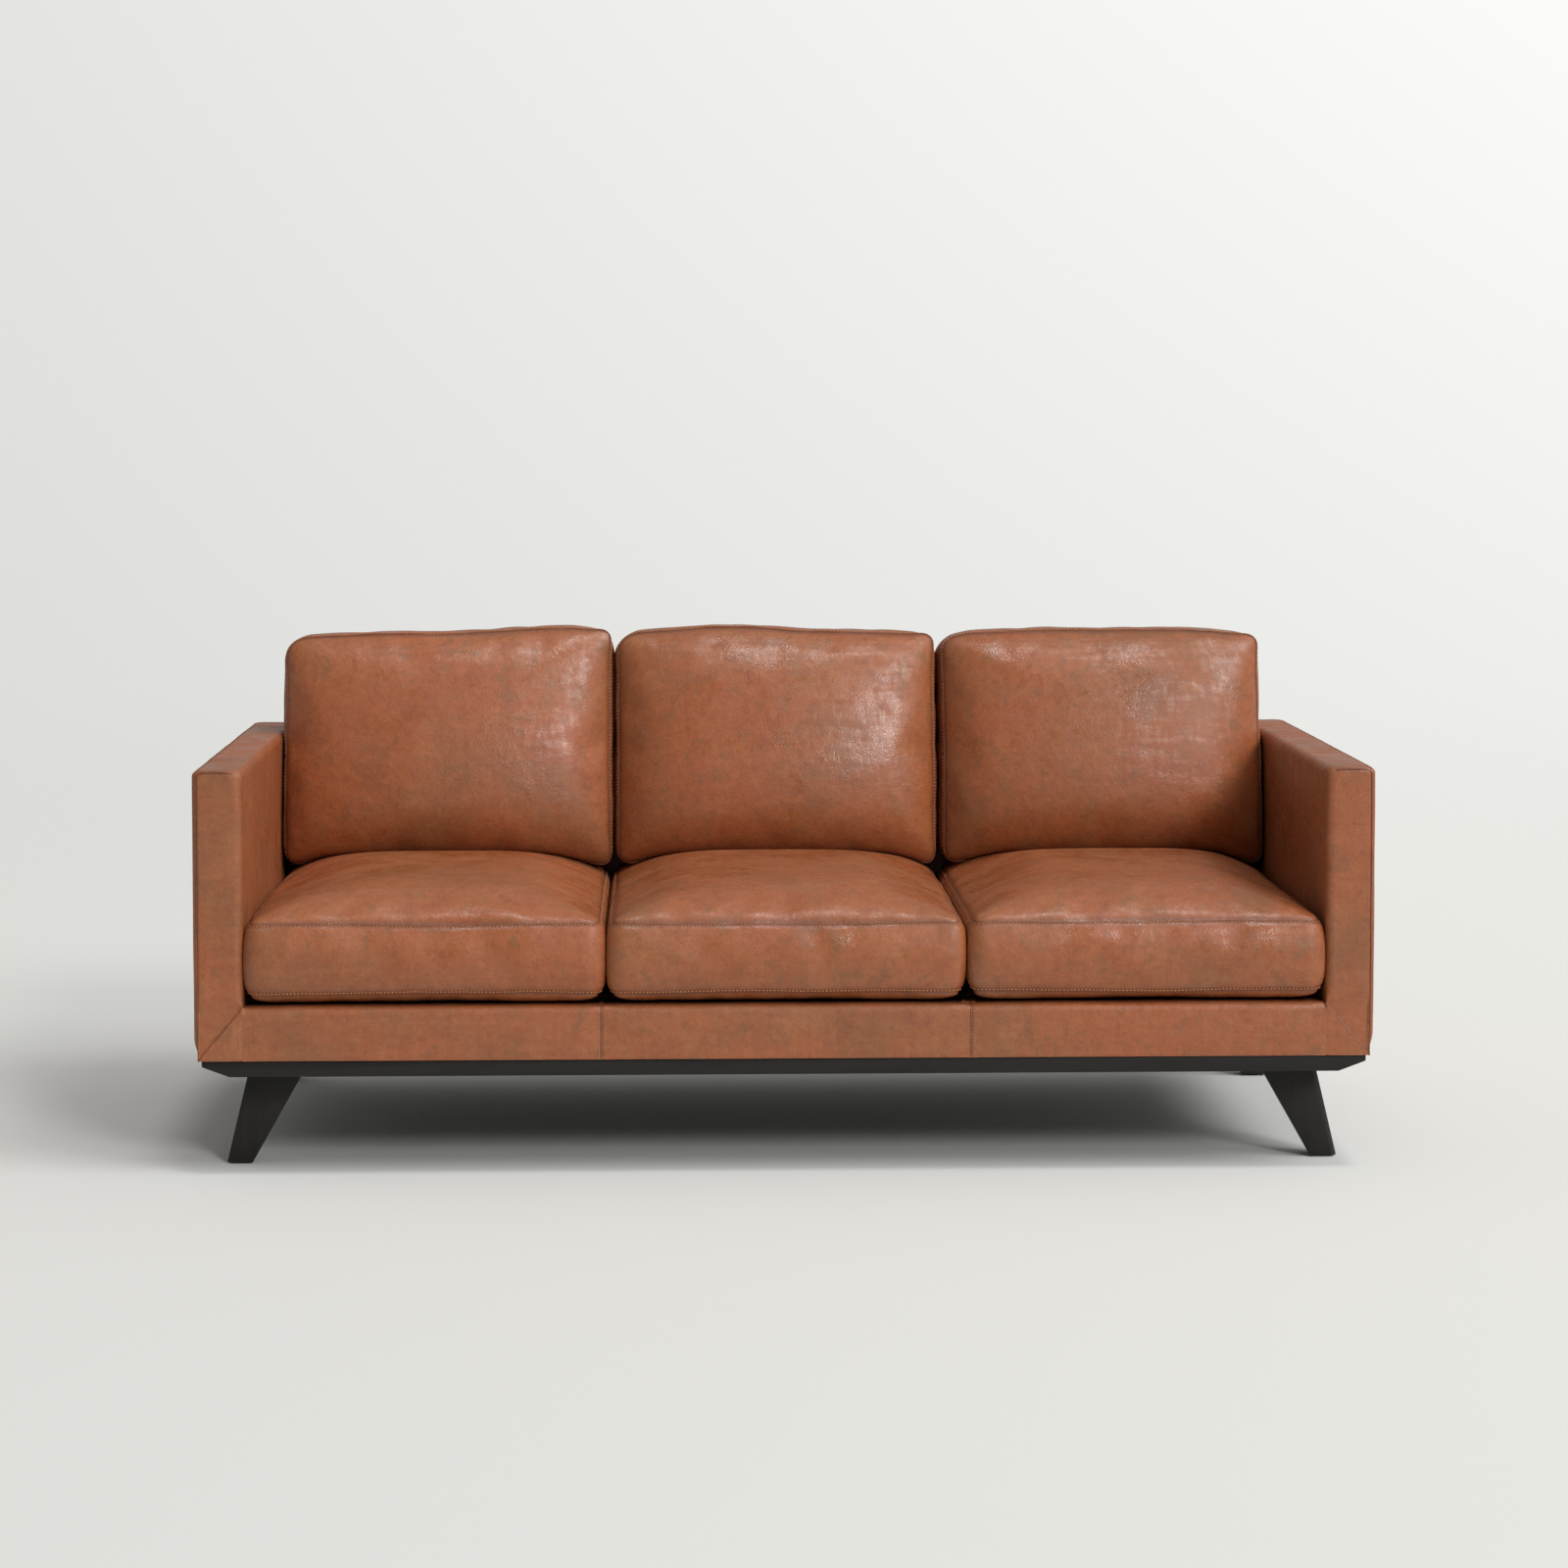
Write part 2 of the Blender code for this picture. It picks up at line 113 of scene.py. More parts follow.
class Finish:
    def __init__(self, name):
        self.material = bpy.data.materials.new(name)
        self.material.use_nodes = True
        self.tree = self.material.node_tree
        self.shader = self.tree.nodes["Principled BSDF"]
        self.coords = self.tree.nodes.new("ShaderNodeTexCoord").outputs["Object"]

    def node(self, kind, settings=None, sockets=None, out=0):
        made = self.tree.nodes.new(kind)
        for key, value in (settings or {}).items():
            setattr(made, key, value)
        for key, value in (sockets or {}).items():
            place = made.inputs[key]
            if isinstance(value, Wire):
                self.tree.links.new(value.socket, place)
            elif isinstance(value, bpy.types.NodeSocket):
                self.tree.links.new(value, place)
            else:
                place.default_value = value
        return Wire(self.tree, made.outputs[out])

    def moved(self, shift=(0, 0, 0), scale=(1, 1, 1)):
        return self.node("ShaderNodeMapping", None, {
            "Vector": self.coords, "Location": shift, "Scale": scale})

    def clouds(self, where, scale, detail=3.0, rough=0.5, warp=0.0):
        return self.node("ShaderNodeTexNoise", None, {
            "Vector": where, "Scale": scale, "Detail": detail, "Roughness": rough, "Distortion": warp})

    def cells(self, where, scale):
        return self.node("ShaderNodeTexVoronoi", None, {"Vector": where, "Scale": scale})

    def step(self, value, low, high, start=0.0, end=1.0):
        return self.node("ShaderNodeMapRange", {"interpolation_type": "SMOOTHSTEP"}, {
            "Value": value, "From Min": low, "From Max": high, "To Min": start, "To Max": end})

    def blend(self, amount, a, b):
        return self.node("ShaderNodeMix", {"data_type": "RGBA"}, {0: amount, 6: a, 7: b}, out=2)

    def attribute(self, name):
        return self.node("ShaderNodeAttribute", {"attribute_name": name}, out=2)

    def put(self, socket, value):
        if isinstance(value, Wire):
            self.tree.links.new(value.socket, self.shader.inputs[socket])
        else:
            self.shader.inputs[socket].default_value = value

    def relief(self, height, strength=1.0):
        bump = self.node("ShaderNodeBump", None, {"Strength": strength, "Distance": 1.0, "Height": height})
        self.put("Normal", bump)


def shade(r, g, b):
    return (r, g, b, 1.0)


leatherLook = {
    "mid": shade(0.303, 0.089, 0.029),
    "pale": shade(0.392, 0.149, 0.059),
    "deep": shade(0.158, 0.042, 0.015),
    "orange": shade(0.316, 0.085, 0.027),
    "olive": shade(0.222, 0.081, 0.029),
    # seam and seamDark: painted shade drawn into the seam grooves
    "seam": shade(0.070, 0.020, 0.009),
    "seamDark": 0.62,
    "grain": 430.0,  # cells per metre
    "polish": (0.13, 0.17),  # the coat on plain leather, and what a rubbed patch adds
    "gloss": 0.36,  # how much smoother a rubbed patch is
}


def makeLeather(name, shift, look):
    f = Finish(name)
    at = f.moved(shift)
    large = f.clouds(at, 3.4, 3.0, 0.55, 0.3)
    middle = f.clouds(at, 12.0, 5.0, 0.64, 0.4)
    mottle = f.clouds(at, 27.0, 6.0, 0.72, 0.6)
    small = f.clouds(at, 62.0, 5.0, 0.66)
    fine = f.clouds(at, 185.0, 4.0, 0.65)
    across = f.clouds(f.moved(shift, (6, 60, 80)), 1.0, 4.0, 0.62)  # faint rubbed streaks
    upward = f.clouds(f.moved(shift, (85, 85, 7)), 1.0, 4.0, 0.62)
    patches = f.clouds(f.moved((shift[0] + 7, 3, 1)), 4.6, 4.0, 0.6)
    tone = f.blend(f.step(large, 0.40, 0.66), look["mid"], look["orange"])
    tone = f.blend(f.step(patches, 0.45, 0.70) * 0.8, tone, look["olive"])
    tone = f.blend(f.step(middle, 0.50, 0.78) * 0.45, tone, look["pale"])
    tone = f.blend(f.step(middle, 0.48, 0.28) * 0.26, tone, look["deep"])
    tone = f.blend(f.step(mottle, 0.50, 0.66) * 0.90, tone, look["olive"])
    tone = f.blend(f.step(mottle, 0.46, 0.30) * 0.42, tone, look["deep"])
    speck = (small - 0.5) * 0.84 + (across - 0.5) * 0.46 + (upward - 0.5) * 0.42 + (fine - 0.5) * 1.0
    tone = f.blend(speck.clamped(), tone, look["pale"])
    tone = f.blend((0 - speck).clamped(), tone, look["deep"])
    nearSeam = f.attribute("seamPaintedShade")  # painted shade along the seam grooves, set on each mesh
    tone = f.blend((nearSeam * look["seamDark"]).clamped(), tone, look["seam"])
    f.put("Base Color", tone)
    rub = f.clouds(f.moved((shift[0] - 4, 9, 2)), 8.0, 6.0, 0.70, 0.6)
    wax = f.step(rub + (across - 0.5) * 0.52 + (upward - 0.5) * 0.48, 0.38, 0.68)
    f.put("Roughness", (0.58 + (small - 0.5) * 0.26 - wax * look["gloss"]).clamped())
    f.put("Specular IOR Level", 0.46)
    broken = wax * (0.45 + f.step(small, 0.36, 0.62) * 0.9)
    f.put("Coat Weight", (look["polish"][0] + broken * look["polish"][1]).clamped())
    f.put("Coat Roughness", 0.32)
    pebble = f.cells(at, look["grain"]) * 0.00034
    crease = f.clouds(at, 80.0, 4.0, 0.6, 0.3) * 0.00085
    swell = f.clouds(at, 17.0, 2.0, 0.5) * 0.0022
    f.relief(pebble + crease + swell, 0.85)
    return f.material


def makeWood(name, along, look):
    # the grain runs along one axis
    f = Finish(name)
    scale = [42.0, 42.0, 42.0]
    scale[along] = 2.6
    fibres = f.clouds(f.moved((0.3, 0.1, 0.7), tuple(scale)), 1.0, 5.0, 0.65, 0.4)
    pores = f.clouds(f.moved((0.9, 0.4, 0.2), tuple(8 * s for s in scale)), 1.0, 3.0, 0.6)
    tone = f.blend(f.step(fibres, 0.35, 0.70), look["dark"], look["light"])
    tone = f.blend(f.step(pores, 0.60, 0.75) * 0.5, tone, look["pore"])
    f.put("Base Color", tone)
    f.put("Roughness", (0.46 + fibres * 0.18 + f.step(pores, 0.55, 0.75) * 0.12).clamped())
    f.put("Specular IOR Level", 0.35)
    f.relief(fibres * 0.0006 + pores * 0.00025, 0.6)
    return f.material


woodLook = {
    "dark": shade(0.0060, 0.0053, 0.0047),
    "light": shade(0.0125, 0.0104, 0.0090),
    "pore": shade(0.003, 0.0026, 0.0025),
}
timberLook = {
    "dark": shade(0.42, 0.28, 0.15),
    "light": shade(0.62, 0.46, 0.28),
    "pore": shade(0.30, 0.18, 0.09),
}


def makeCloth(name, light, dark, scale=520.0, rough=0.92):
    f = Finish(name)
    at = f.moved((0.2, 0.6, 0.1))
    weave = f.cells(at, scale)
    fluff = f.clouds(at, 24.0, 4.0, 0.6)
    f.put("Base Color", f.blend((weave * 0.7 + fluff * 0.4).clamped(), dark, light))
    f.put("Roughness", (rough - 0.08 + fluff * 0.12).clamped())
    f.relief(weave * 0.0005, 0.7)
    return f.material


def makeMetal(name, light, dark, rough):
    f = Finish(name)
    smear = f.clouds(f.moved(), 60.0, 3.0, 0.6)
    f.put("Base Color", f.blend(smear, dark, light))
    f.put("Metallic", 1.0)
    f.put("Roughness", (rough - 0.08 + smear * 0.2).clamped())
    return f.material


def makePlain(name, light, dark, rough, scale=90.0):
    f = Finish(name)
    grime = f.clouds(f.moved(), scale, 4.0, 0.6)
    f.put("Base Color", f.blend(grime, dark, light))
    f.put("Roughness", (rough - 0.08 + grime * 0.18).clamped())
    f.relief(f.clouds(f.moved(), 900.0, 2.0, 0.5) * 0.0001, 0.6)
    return f.material


finishes = {
    "thread": makePlain("seam_thread", shade(0.60, 0.225, 0.085), shade(0.42, 0.140, 0.052), 0.6, 300.0),
    # the welt beads are coloured darker than the leather: painted shade in the seam lines
    "welt": makeLeather("welt_painted_shade", (1.3, 4.1, 2.2), {
        **leatherLook, "mid": shade(0.140, 0.041, 0.016), "orange": shade(0.150, 0.042, 0.016),
        "polish": (0.05, 0.10), "gloss": 0.10}),
    "woodUp": makeWood("leg_wood", 2, woodLook),
    "woodAcross": makeWood("plinth_wood", 0, woodLook),
    "woodBack": makeWood("plinth_end_wood", 1, woodLook),
    "timber": makeWood("frame_timber_grain", 0, timberLook),
    "deck": makeCloth("deck_felt", shade(0.15, 0.085, 0.05), shade(0.07, 0.035, 0.02)),
    "dust": makeCloth("dust_cloth", shade(0.03, 0.03, 0.03), shade(0.010, 0.010, 0.010), 900.0),
    "steel": makeMetal("spring_wire", shade(0.55, 0.55, 0.56), shade(0.30, 0.30, 0.31), 0.35),
    "nylon": makePlain("glide_nylon", shade(0.030, 0.030, 0.030), shade(0.014, 0.014, 0.014), 0.55),
    "tape": makeCloth("zip_tape", shade(0.13, 0.055, 0.03), shade(0.06, 0.025, 0.014), 1400.0, 0.8),
    "brass": makeMetal("zip_teeth", shade(0.42, 0.31, 0.16), shade(0.25, 0.18, 0.09), 0.38),
}


def gridBox(xs, ys, zs):
    # a cube cut into a grid whose lines stand at the given places
    bm = bmesh.new()
    bmesh.ops.create_cube(bm, size=2.0)
    for axis, marks in enumerate((xs, ys, zs)):
        along = [e for e in bm.edges if abs(e.verts[0].co[axis] - e.verts[1].co[axis]) > 1e-6]
        bmesh.ops.subdivide_edges(bm, edges=along, cuts=len(marks) - 2, use_grid_fill=True)
        last = len(marks) - 1
        for v in bm.verts:
            v.co[axis] = marks[round((v.co[axis] + 1) / 2 * last)]
    bmesh.ops.recalc_face_normals(bm, faces=bm.faces)
    return bm


def marks(a, b, step, fine=(0.0015, 0.004, 0.0075, 0.0115, 0.0165), extra=()):
    # grid lines from a to b, close together near both ends and near each extra place
    made = {a, b}
    inner = [a + o for o in fine] + [b - o for o in fine]
    for e in extra:
        inner += [e - 0.006, e - 0.0032, e - 0.0014, e, e + 0.0014, e + 0.0032, e + 0.006]
    made.update(inner)
    count = max(2, round((b - a) / step))
    for i in range(1, count):
        place = a + (b - a) * i / count
        if min(abs(place - m) for m in made) > 0.45 * step:
            made.add(place)
    return sorted(made)


def points(bm):
    bm.verts.ensure_lookup_table()
    return np.array([v.co[:] for v in bm.verts])


def setPoints(bm, p):
    for v, c in zip(bm.verts, p):
        v.co = c


def ripple(p, scale, seed):
    # smooth noise at each point, from about -1 to 1, with a scale for each axis
    where = p * np.asarray(scale, float) + seed
    return np.array([noise.fractal(Vector(c), 1.0, 2.0, 2) for c in where])


def makePiece(name, bm, finish, body, angle=None):
    mesh = bpy.data.meshes.new(name)
    bm.to_mesh(mesh)
    bm.free()
    mesh.shade_smooth()
    if angle:
        mesh.set_sharp_from_angle(angle=math.radians(angle))
    mesh.materials.append(finish)
    obj = bpy.data.objects.new(name, mesh)
    bpy.context.scene.collection.objects.link(obj)
    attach(obj, body)
    return obj


def paintSeam(obj, value):
    # how much painted shade darkens each point near a seam
    layer = obj.data.attributes.new("seamPaintedShade", "FLOAT", "POINT")
    layer.data.foreach_set("value", np.asarray(value, np.float32))


def smoothStep(t):
    t = np.clip(t, 0, 1)
    return t * t * (3 - 2 * t)


def roundCorners(p, low, high, radius):
    # pull a box's corners and edges onto rounds; radius is one value for each point
    r = radius[:, None]
    core = np.clip(p, np.asarray(low) + r, np.asarray(high) - r)
    away = p - core
    far = np.linalg.norm(away, axis=1, keepdims=True)
    return np.where(far > 1e-9, core + away / np.maximum(far, 1e-9) * r, p)


def addBead(bm, path, radius, closed=False):
    # a round bead along a path
    curve = bpy.data.curves.new("bead", "CURVE")
    curve.dimensions = "3D"
    curve.bevel_depth, curve.bevel_resolution = radius, 1
    curve.use_fill_caps = not closed
    spline = curve.splines.new("POLY")
    spline.points.add(len(path) - 1)
    for place, co in zip(spline.points, path):
        place.co = (*co, 1)
    spline.use_cyclic_u = closed
    holder = bpy.data.objects.new("bead", curve)
    bpy.context.scene.collection.objects.link(holder)
    bpy.context.view_layer.update()
    mesh = bpy.data.meshes.new_from_object(holder)
    bm.from_mesh(mesh)
    bpy.data.objects.remove(holder, do_unlink=True)
    bpy.data.curves.remove(curve)
    bpy.data.meshes.remove(mesh)


def evenPath(path, step, closed=False):
    # the same path with points at an even step
    path = np.asarray(path, float)
    if closed:
        path = np.vstack([path, path[:1]])
    lengths = np.r_[0, np.cumsum(np.linalg.norm(np.diff(path, axis=0), axis=1))]
    count = max(2, round(lengths[-1] / step))
    where = np.linspace(0, lengths[-1], count + 1)
    even = np.stack([np.interp(where, lengths, path[:, i]) for i in range(3)], axis=1)
    return even[:-1] if closed else even


def stitches(bm, path, normals, pitch, size, dip=0.35):
    # short thread stitches along a path, lying on a surface
    path = np.asarray(path)
    for i in range(len(path) - 1):
        a, b = Vector(path[i]), Vector(path[i + 1])
        n = Vector(normals[i]).normalized()
        along = (b - a).normalized()
        side = along.cross(n).normalized()
        turn = Matrix((along, side, n)).transposed().to_4x4()
        middle = (a + b) / 2 + n * size * dip
        bmesh.ops.create_cone(
            bm, cap_ends=True, segments=6, radius1=size, radius2=size * 0.8, depth=pitch * 0.62,
            matrix=Matrix.Translation(middle) @ turn @ Matrix.Rotation(math.pi / 2, 4, "Y"))


def surfaceOf(bm):
    bm.normal_update()
    return BVHTree.FromBMesh(bm)


def laidOn(tree, path):
    # the nearest places on a surface, and its normals there
    found = [tree.find_nearest(Vector(q)) for q in path]
    return np.array([f[0] for f in found]), np.array([f[1] for f in found])


def groove(distance, depth=0.0022, width=0.0030, puff=0.0009):
    # how far a sewn surface stands out at a distance from its seam
    return -depth * np.exp(-(distance / width) ** 2) + puff * (1 - np.exp(-(distance / 0.014) ** 2))


def lineDistance(p, a, b):
    a, b = np.asarray(a, float), np.asarray(b, float)
    along = b - a
    t = np.clip(((p - a) @ along) / (along @ along), 0, 1)
    return np.linalg.norm(p - (a + t[:, None] * along), axis=1)


armSpec = {
    "inner": 0.930, "outer": 1.0135, "seam": 1.0076, "low": 0.2014, "top": 0.700,
    "innerRound": 0.013, "edgeRound": 0.0034, "outerRound": 0.0115, "rearRound": 0.0045,
    "borderTop": 0.293, "mitreIn": (0.9285, 0.2945), "mitreOut": (1.006, 0.2035),
    "ripple": 0.0005, "pitch": 0.0062, "recess": 0.0026, "lip": 0.6965, "cornerTurn": 0.008,
    "grid": 0.0125, "frameIn": 0.9446, "frameOut": 0.9994, "frameHalf": 0.4604, "frameTop": 0.6854,
}


def raised(bm, faces, shift=(0, 0, 0)):
    # extrude faces, move them, and return their points
    edges = dict.fromkeys(e for f in faces for e in f.edges)
    grown = bmesh.ops.extrude_face_region(bm, geom=[*faces, *edges])["geom"]
    verts = [g for g in grown if isinstance(g, bmesh.types.BMVert)]
    bmesh.ops.translate(bm, verts=verts, vec=shift)
    return verts


def makePocket(bm, a):
    # push the underside up into a pocket that holds the arm's frame
    bm.normal_update()
    floor = []
    for f in bm.faces:
        at = f.calc_center_median()
        if f.normal.z < -0.9 and a["frameIn"] < at.x < a["frameOut"] and abs(at.y) < a["frameHalf"]:
            floor.append(f)
    for v in raised(bm, floor):
        v.co.z = a["frameTop"]


def mitreLine(a):
    # the mitre's two ends, and the direction across it
    start, end = (Vector((x, 0, z)) for x, z in (a["mitreIn"], a["mitreOut"]))
    return start, end, Vector((start.z - end.z, 0, end.x - start.x)).normalized()


def cutMitre(bm, a):
    # grid lines along the mitre, in the lower part of the arm's front
    start, end, across = mitreLine(a)
    for off in (-0.006, -0.0028, -0.0012, 0, 0.0012, 0.0028, 0.006):
        geom = {}
        for f in bm.faces:
            at = f.calc_center_median()
            if at.y < front + 1e-4 and at.z < 0.31:
                geom.update(dict.fromkeys((f, *f.edges, *f.verts)))
        bmesh.ops.bisect_plane(bm, geom=list(geom), plane_co=start + across * off, plane_no=across, dist=1e-6)


def armSeams(a):
    # the sewn lines of the right arm, with the mitre last
    edge, turn, lip = a["seam"], a["cornerTurn"], a["lip"]
    bend = turn * 0.29  # how far the corner's middle stands in from the square corner
    rows = [
        ((edge, front, a["low"]), (edge, front, lip - turn)),
        ((edge, front + 0.003, a["top"]), (edge, rear - 0.003, a["top"])),
        ((edge, rear, a["low"]), (edge, rear, lip - turn)),
    ]
    for y in (front, rear):
        rows.append(((a["inner"] + 0.014, y, lip), (edge - turn, y, lip)))
        rows.append(((edge - turn, y, lip), (edge - bend, y, lip - bend)))
        rows.append(((edge - bend, y, lip - bend), (edge, y, lip - turn)))
    start, end = mitreLine(a)[:2]
    rows.append(((start.x, front, start.z), (end.x, front, end.z)))
    return rows


def sewArm(side, name, a, runs):
    # beads along the seams, and a row of stitches beside the front, rear and mitre seams
    beads, threads = bmesh.new(), bmesh.new()
    mitre = len(runs) - 1
    for i, (path, normals) in enumerate(runs):
        path = path * (side, 1, 1)
        normals = normals * (side, 1, 1)
        if i != mitre:
            addBead(beads, path + normals * 0.0004, 0.0010)
        if i in (0, 2, mitre):
            tangent = np.gradient(path, axis=0)
            tangent /= np.linalg.norm(tangent, axis=1, keepdims=True)
            beside = np.cross(normals, tangent)
            offset = 0.0036 * (1 if i == mitre else -np.sign(beside[:, :1]) * side)
            row = evenPath(path + beside * offset, a["pitch"])
            stitches(threads, row, np.repeat(normals[:1], len(row), axis=0), a["pitch"], 0.00055, 0.9)
    makePiece(f"{name}_arm_seams", beads, finishes["welt"], "sofa_frame")
    makePiece(f"{name}_arm_stitches", threads, finishes["thread"], "sofa_frame")


def makeArm(side, name, a):
    xs = marks(a["inner"], a["outer"], 0.011, extra=(a["seam"],), fine=(0.002, 0.0045, 0.008, 0.012))
    ys = marks(front, rear, a["grid"])
    zs = marks(a["low"], a["top"], a["grid"], extra=(0.6955,))
    xs = sorted({*xs, a["frameIn"], a["frameOut"]})
    ys = sorted({*ys, -a["frameHalf"], a["frameHalf"]})
    bm = gridBox(xs, ys, zs)
    makePocket(bm, a)
    cutMitre(bm, a)
    p = points(bm)
    x = p[:, 0]
    pocket = (x > a["frameIn"] - 0.0005) & (x < a["frameOut"] + 0.0005)
    pocket &= (abs(p[:, 1]) < a["frameHalf"] + 0.0005) & (p[:, 2] < a["frameTop"] + 0.0004)
    inRound = a["innerRound"] * smoothStep((p[:, 2] - a["borderTop"]) / 0.020) + 0.0008
    inRound = np.where(p[:, 1] > 0.3, a["rearRound"], inRound)
    radius = inRound + (a["edgeRound"] - inRound) * smoothStep((x - a["inner"] - 0.012) / 0.014)
    outward = a["edgeRound"] + (a["outerRound"] - a["edgeRound"]) * smoothStep((x - 0.992) / 0.012)
    radius = np.where(x > 0.985, outward, radius)
    shaped = roundCorners(p, (a["inner"], front, -9), (a["outer"], rear, a["top"]), radius)
    p = np.where(pocket[:, None], p, shaped)
    setPoints(bm, p)
    bm.normal_update()
    n = np.array([v.normal[:] for v in bm.verts])
    seams = armSeams(a)
    near = np.min([lineDistance(p, *s) for s in seams[:-1]], axis=0)
    mitre = lineDistance(p, *seams[-1])
    outerFlat = smoothStep((p[:, 0] - 1.006) / 0.006)
    soft = np.minimum(groove(near, 0.0014, 0.0022, 0.0006), groove(mitre, 0.0010, 0.0018, 0.0006))
    soft += a["ripple"] * ripple(p, (5.0, 7.0, 4.0), side * 3.1 + 5)
    soft += 0.0004 * ripple(p, (30.0, 34.0, 9.0), side * 7.7)  # upright ripples in the leather
    padding = smoothStep((p[:, 2] - 0.24) / 0.15) * np.cos(np.clip(p[:, 1] / 0.5, -1, 1) * 1.2)
    soft += 0.0012 * outerFlat * padding
    soft[pocket | (p[:, 2] < a["low"] + 0.001)] = 0.0
    soft[(p[:, 1] < front + 0.02) & (p[:, 2] < 0.31) & (p[:, 0] < 0.934)] = 0.0  # where the border meets it
    p = p + n * soft[:, None]
    p[:, 0] -= 0.0085 * smoothStep((0.238 - p[:, 2]) / 0.036) * outerFlat * ~pocket  # drawn in at the foot
    start, end, across = mitreLine(a)
    under = (p[:, 0] - start.x) * across.x + (p[:, 2] - start.z) * across.z > 0.0009
    under &= (p[:, 1] < front + 0.006) & (p[:, 0] < 1.0045) & (p[:, 2] < start.z)
    p[:, 1] = np.where(under, np.maximum(p[:, 1], front + a["recess"]), p[:, 1])  # room for the border's end
    setPoints(bm, p)
    tree = surfaceOf(bm)
    runs = [laidOn(tree, evenPath(s, 0.006)) for s in seams]
    bmesh.ops.transform(bm, matrix=Matrix.Scale(side, 4, (1, 0, 0)), verts=bm.verts)
    if side < 0:
        bmesh.ops.reverse_faces(bm, faces=bm.faces)
    arm = makePiece(f"{name}_arm_leather", bm, frameLeather, "sofa_frame")
    # painted shade along the arm's seams, lighter along the mitre
    paintSeam(arm, np.maximum(0.8 * np.exp(-(near / 0.0035) ** 2), 0.45 * np.exp(-(mitre / 0.0022) ** 2)))
    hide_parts(f"{name}_arm_cover")
    sewArm(side, name, a, runs)


frameLook = {**leatherLook, "polish": (0.12, 0.10), "gloss": 0.24}
frameLeather = makeLeather("frame_leather", (0.4, 2.2, 0.6), frameLook)
for side, name in ((-1, "left"), (1, "right")):
    makeArm(side, name, armSpec)
print("arms done")


borderSpec = {
    "half": 0.9297, "low": 0.2014, "top": 0.293, "round": 0.011, "seams": (-0.3175, 0.3175), "strip": 0.0018,
    "reach": 1.0045, "flap": 0.0022, "tipTop": 0.2050, "thick": 0.020, "ledge": 0.2852, "ledgeDeep": 0.0550,
    "pitch": 0.0058,
}


def pairsOf(spec):
    # the two lines of stitching of each upright seam
    return [s + o for s in spec["seams"] for o in (-spec["strip"], spec["strip"])]


def makeBorder(b):
    xs = marks(-b["half"], b["half"], 0.014, fine=(0.003,), extra=pairsOf(b))
    wing = [b["half"] + 0.0002, *np.linspace(b["half"] + 0.006, b["reach"], 9)]
    xs = sorted([*xs, *wing, *[-x for x in wing]])
    ys = [front + deep for deep in (0, 0.0015, 0.004, 0.0075, 0.0115, b["thick"])]
    zs = marks(b["low"], b["top"], 0.009)
    zs = sorted({z for z in zs if abs(z - b["ledge"]) > 0.0012} | {b["ledge"]})
    bm = gridBox(xs, ys, zs)
    bm.normal_update()
    ledge = []
    for f in bm.faces:
        at = f.calc_center_median()
        if f.normal.y > 0.9 and at.z > b["ledge"] and abs(at.x) < b["half"]:
            ledge.append(f)
    raised(bm, ledge, (0, b["ledgeDeep"], 0))
    p = points(bm)
    onWing = abs(p[:, 0]) > b["half"] + 1e-4
    p = roundCorners(p, (-9, front, -9), (9, 9, b["top"]), np.where(onWing, 0.0008, b["round"]))
    topHere = np.interp(abs(p[:, 0]), (b["half"], b["reach"]), (b["top"] - 0.001, b["tipTop"]))
    squeeze = (topHere - b["low"]) / (b["top"] - b["low"])
    p[:, 2] = np.where(onWing, b["low"] + (p[:, 2] - b["low"]) * squeeze, p[:, 2])
    p[:, 1] = np.where(onWing, front + (p[:, 1] - front) * b["flap"] / b["thick"], p[:, 1])
    setPoints(bm, p)
    bm.normal_update()
    n = np.array([v.normal[:] for v in bm.verts])
    near = np.min([abs(p[:, 0] - x) for x in pairsOf(b)], axis=0)
    middle = np.min([abs(p[:, 0] - s) for s in b["seams"]], axis=0)
    soft = groove(near, 0.0010, 0.0012, 0.0008) + 0.0006 * np.exp(-(middle / 0.0012) ** 2)
    tall = (p[:, 2] - b["low"]) / (b["top"] - b["low"])
    soft += 0.0022 * np.sin(np.pi * np.clip(tall, 0, 1)) * smoothStep(middle / 0.05)
    soft += 0.0008 * ripple(p, (7.0, 5.0, 9.0), 4.4)
    soft *= smoothStep((b["half"] - abs(p[:, 0])) / 0.03) * ~onWing
    soft *= ((p[:, 1] < front + 0.019) | (p[:, 2] > b["top"] - 0.001)) & (p[:, 2] >= b["low"] + 0.001)
    setPoints(bm, p + n * soft[:, None])
    tree = surfaceOf(bm)
    border = makePiece("front_border_leather", bm, frameLeather, "sofa_frame")
    # painted shade along the upright seams, and along the mitre on the border's ends
    tip = lineDistance(abs(p) * (1, 0, 1), (b["half"], 0, b["top"]), (b["reach"], 0, b["tipTop"]))
    mitre = 0.6 * onWing * np.exp(-(tip / 0.0025) ** 2)
    paintSeam(border, np.maximum(0.8 * np.exp(-(near / 0.0016) ** 2), mitre))
    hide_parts("front_rail_cover")
    threads = bmesh.new()
    for s in b["seams"]:
        for x in (s - b["strip"] * 2.4, s + b["strip"] * 2.4):
            path = evenPath([(x, front, b["low"] + 0.002), (x, front, b["top"] - 0.004)], b["pitch"])
            stitches(threads, *laidOn(tree, path), b["pitch"], 0.0005, 0.7)
    makePiece("front_border_stitches", threads, finishes["thread"], "sofa_frame")


makeBorder(borderSpec)
print("front border done")


backSpec = {
    "half": 0.9294, "low": 0.2014, "top": 0.699, "foot": 0.325, "bend": 0.293, "rear": 0.473, "round": 0.012,
    "lean": math.tan(math.radians(9)), "seams": (-0.31, 0.31), "strip": 0.0036, "pitch": 0.0062,
    "topSeam": 0.687, "frameHalf": 0.9138, "wall": 0.0168,
}


